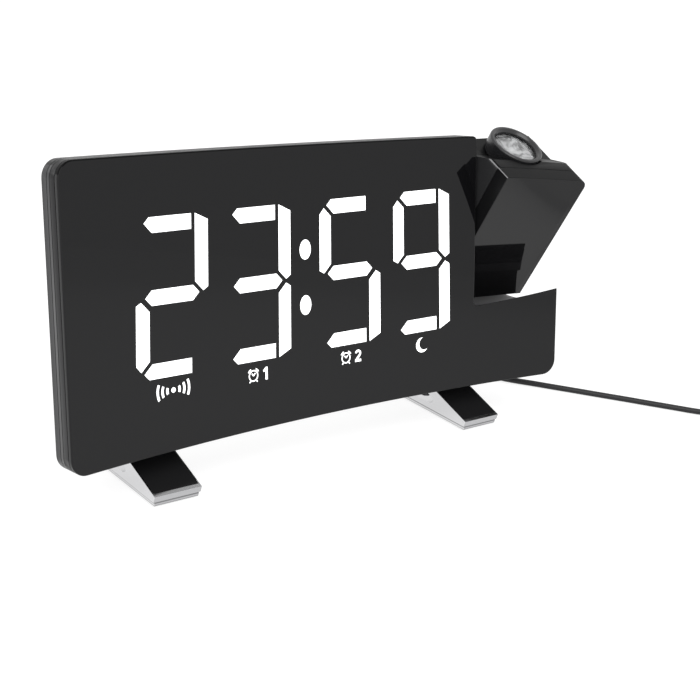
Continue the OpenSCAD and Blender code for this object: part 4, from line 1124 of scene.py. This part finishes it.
class ClockArm(bpy.types.Operator):
    """Adds the projector arm's glossy face and its satin housing"""

    bl_idname = "clock.arm"
    bl_label = "Projector arm"

    def execute(self, context):
        face = gloss("arm gloss", (0.006, 0.006, 0.0065), base=0.04)
        side = satin("arm side", (0.006, 0.006, 0.0065), rough=0.3, level=0.12, bump=0.05)
        housing = satin("arm satin", (0.021, 0.021, 0.022), rough=0.4, level=0.28)
        # painted highlight: a light copy of the arm's finish for its top-left corner
        glint = satin("rubbed corner", (0.2, 0.2, 0.205), rough=0.3, level=0.5, bump=0.05)
        # painted shade: a darker copy of the arm's finish for its upward faces
        top = satin("arm top", (0.003, 0.003, 0.0032), rough=0.35, level=0.07)
        piece = self.face()
        place(piece, ARM, "arm", face, more=[side])
        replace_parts(piece, "arm_front_shell")
        shell = dress("arm_rear_shell", "arm_housing", "arm", housing,
                      width=0.25 * MM)
        up = ARM.to_3x3() @ Vector((0, 0, 1))
        for part, least in (piece, FACE_CORNER), (shell, HOUSING_CORNER):
            # painted shade on the upward faces
            paint(part, top, lambda f: f.normal.dot(up) > FACING)
            # painted highlight on the top-left corner
            paint(part, glint, lambda f: f.normal.dot(up) > least and f.normal.x < -least)
        return {"FINISHED"}

    def face(self):
        """The face: as curved as the display, with a rolled bottom."""
        low = PIVOT_IN_CASE.z - ARM_R
        piece = upright_sheet("arm_face", ARM_LEFT, ARM_RIGHT, low, HEIGHT)
        for x, radius in ARM_CORNERS:
            with editing(piece):
                choose(piece, "verts", lambda v: abs(v.co.x - x) < TINY
                       and abs(v.co.z - HEIGHT) < TINY)
                bpy.ops.mesh.bevel(offset=radius, segments=8, affect="VERTICES")
        slice_up(piece, ARM_LEFT, ARM_RIGHT, sizes().slice)
        modify(piece, "SOLIDIFY", thickness=ARM_FRONT_T, offset=-1)
        for vertex in piece.data.vertices:
            x, y, z = vertex.co
            depth = 0 if y < ARM_FRONT_T / 2 else ARM_FRONT_T
            if z < low + TINY:
                z = round_edge_z(x, depth, ARM_R)
            vertex.co = (x, face_y(x, depth), z)
        face_outward(piece)
        for face in piece.data.polygons:
            face.material_index = 0 if face.normal.y < -FACING else 1
        soften(piece, ARM_EDGE, segments=2, degrees=LAYER_EDGE)
        smooth(piece, LAYER_SMOOTH)
        return piece


class ClockLens(bpy.types.Operator):
    """Adds the focus ring and the lens that it carries"""

    bl_idname = "clock.lens"
    bl_label = "Focus ring and lens"

    def execute(self, context):
        ring = satin("ring plastic", (0.014, 0.014, 0.015), rough=0.26, level=0.5, bump=0.05)
        dress("focus_ring", "ring", "focus", ring, width=0.15 * MM)
        glass = clear("front element acrylic", tint=(0.95, 0.96, 0.97), haze=0.36, ripple=0.3,
                      shade=0.22)
        dress("projection_lens", "front_element", "lens", glass, width=0)
        return {"FINISHED"}


# ---------- inner and small CAD nodes ----------


class ClockInner(bpy.types.Operator):
    """Gives the pieces that stay as they are their own finishes"""

    bl_idname = "clock.inner"
    bl_label = "Inner pieces"

    def execute(self, context):
        board = satin("solder mask", (0.01, 0.09, 0.03), rough=0.35, level=0.5)
        steel = metal("plated steel", (0.62, 0.62, 0.63), rough=0.22, stretch=(1, 1, 8))
        black = satin("black nylon", (0.014, 0.014, 0.015), rough=0.5)
        white = satin("white moulding", (0.8, 0.8, 0.78), rough=0.5)
        nylon = satin("natural nylon", (0.72, 0.68, 0.58), rough=0.5)
        brass = metal("spring brass", (0.75, 0.55, 0.25), rough=0.25)
        aluminium = metal("aluminium board", (0.8, 0.8, 0.8), rough=0.3)
        rubber = satin("pad rubber", (0.012, 0.012, 0.012), rough=0.75, level=0.2)
        chip = gloss("led chip", (0.9, 0.8, 0.35), level=0.5)
        glass = clear("lens acrylic")
        dark_glass = gloss("lcd glass", (0.4, 0.41, 0.42), level=0.5)
        finishes = {
            board: ["display_pcb", "main_pcb", "power_pcb"],
            steel: ["rear_screws", "board_screws", "foot_screws", "arm_screws", "arm_axle",
                    "hinge_retainer", "friction_spring", "usb_socket", "coin_cell"],
            black: ["board_header", "tact_switches", "dc_jack", "speaker"],
            white: ["display_block"],
            nylon: ["hinge_bush", "hinge_washer"],
            brass: ["battery_clip"],
            aluminium: ["led_board", "lens_barrel", "lens_cell"],
            rubber: ["foot_pads"],
            chip: ["display_leds", "projector_led"],
            glass: ["condenser_lens"],
            dark_glass: ["projector_lcd"],
        }
        for material, nodes in finishes.items():
            for node in nodes:
                mesh = frame["nodes"][node].data
                mesh.materials.clear()
                mesh.materials.append(material)
        return {"FINISHED"}


# ---------- add-on ----------

OPERATORS = (ClockCamera, ClockLead, ClockStage, ClockDisplay, ClockCase, ClockControls,
             ClockFeet, ClockArm, ClockLens, ClockInner)


class ClockPanel(bpy.types.Panel):
    """Lists the clock's sizes, colours and pieces"""

    bl_idname = "VIEW3D_PT_clock"
    bl_label = "Projection Clock"
    bl_space_type = "VIEW_3D"
    bl_region_type = "UI"
    bl_category = "Clock"

    def draw(self, context):
        layout = self.layout
        for group in context.scene.clock_sizes, context.scene.clock_colours:
            for name in group.__annotations__:
                layout.prop(group, name)
        for operator in OPERATORS:
            layout.operator(operator.bl_idname)


CLASSES = (ClockSizes, ClockColours, *OPERATORS, ClockPanel)


def register():
    for made in CLASSES:
        bpy.utils.register_class(made)
    bpy.types.Scene.clock_sizes = PointerProperty(type=ClockSizes)
    bpy.types.Scene.clock_colours = PointerProperty(type=ClockColours)


def unregister():
    del bpy.types.Scene.clock_sizes
    del bpy.types.Scene.clock_colours
    for made in reversed(CLASSES):
        bpy.utils.unregister_class(made)


def main():
    register()
    for operator in OPERATORS:
        group, name = operator.bl_idname.split(".")
        getattr(getattr(bpy.ops, group), name)()
    bpy.context.view_layer.update()


if __name__ == "__main__":
    main()
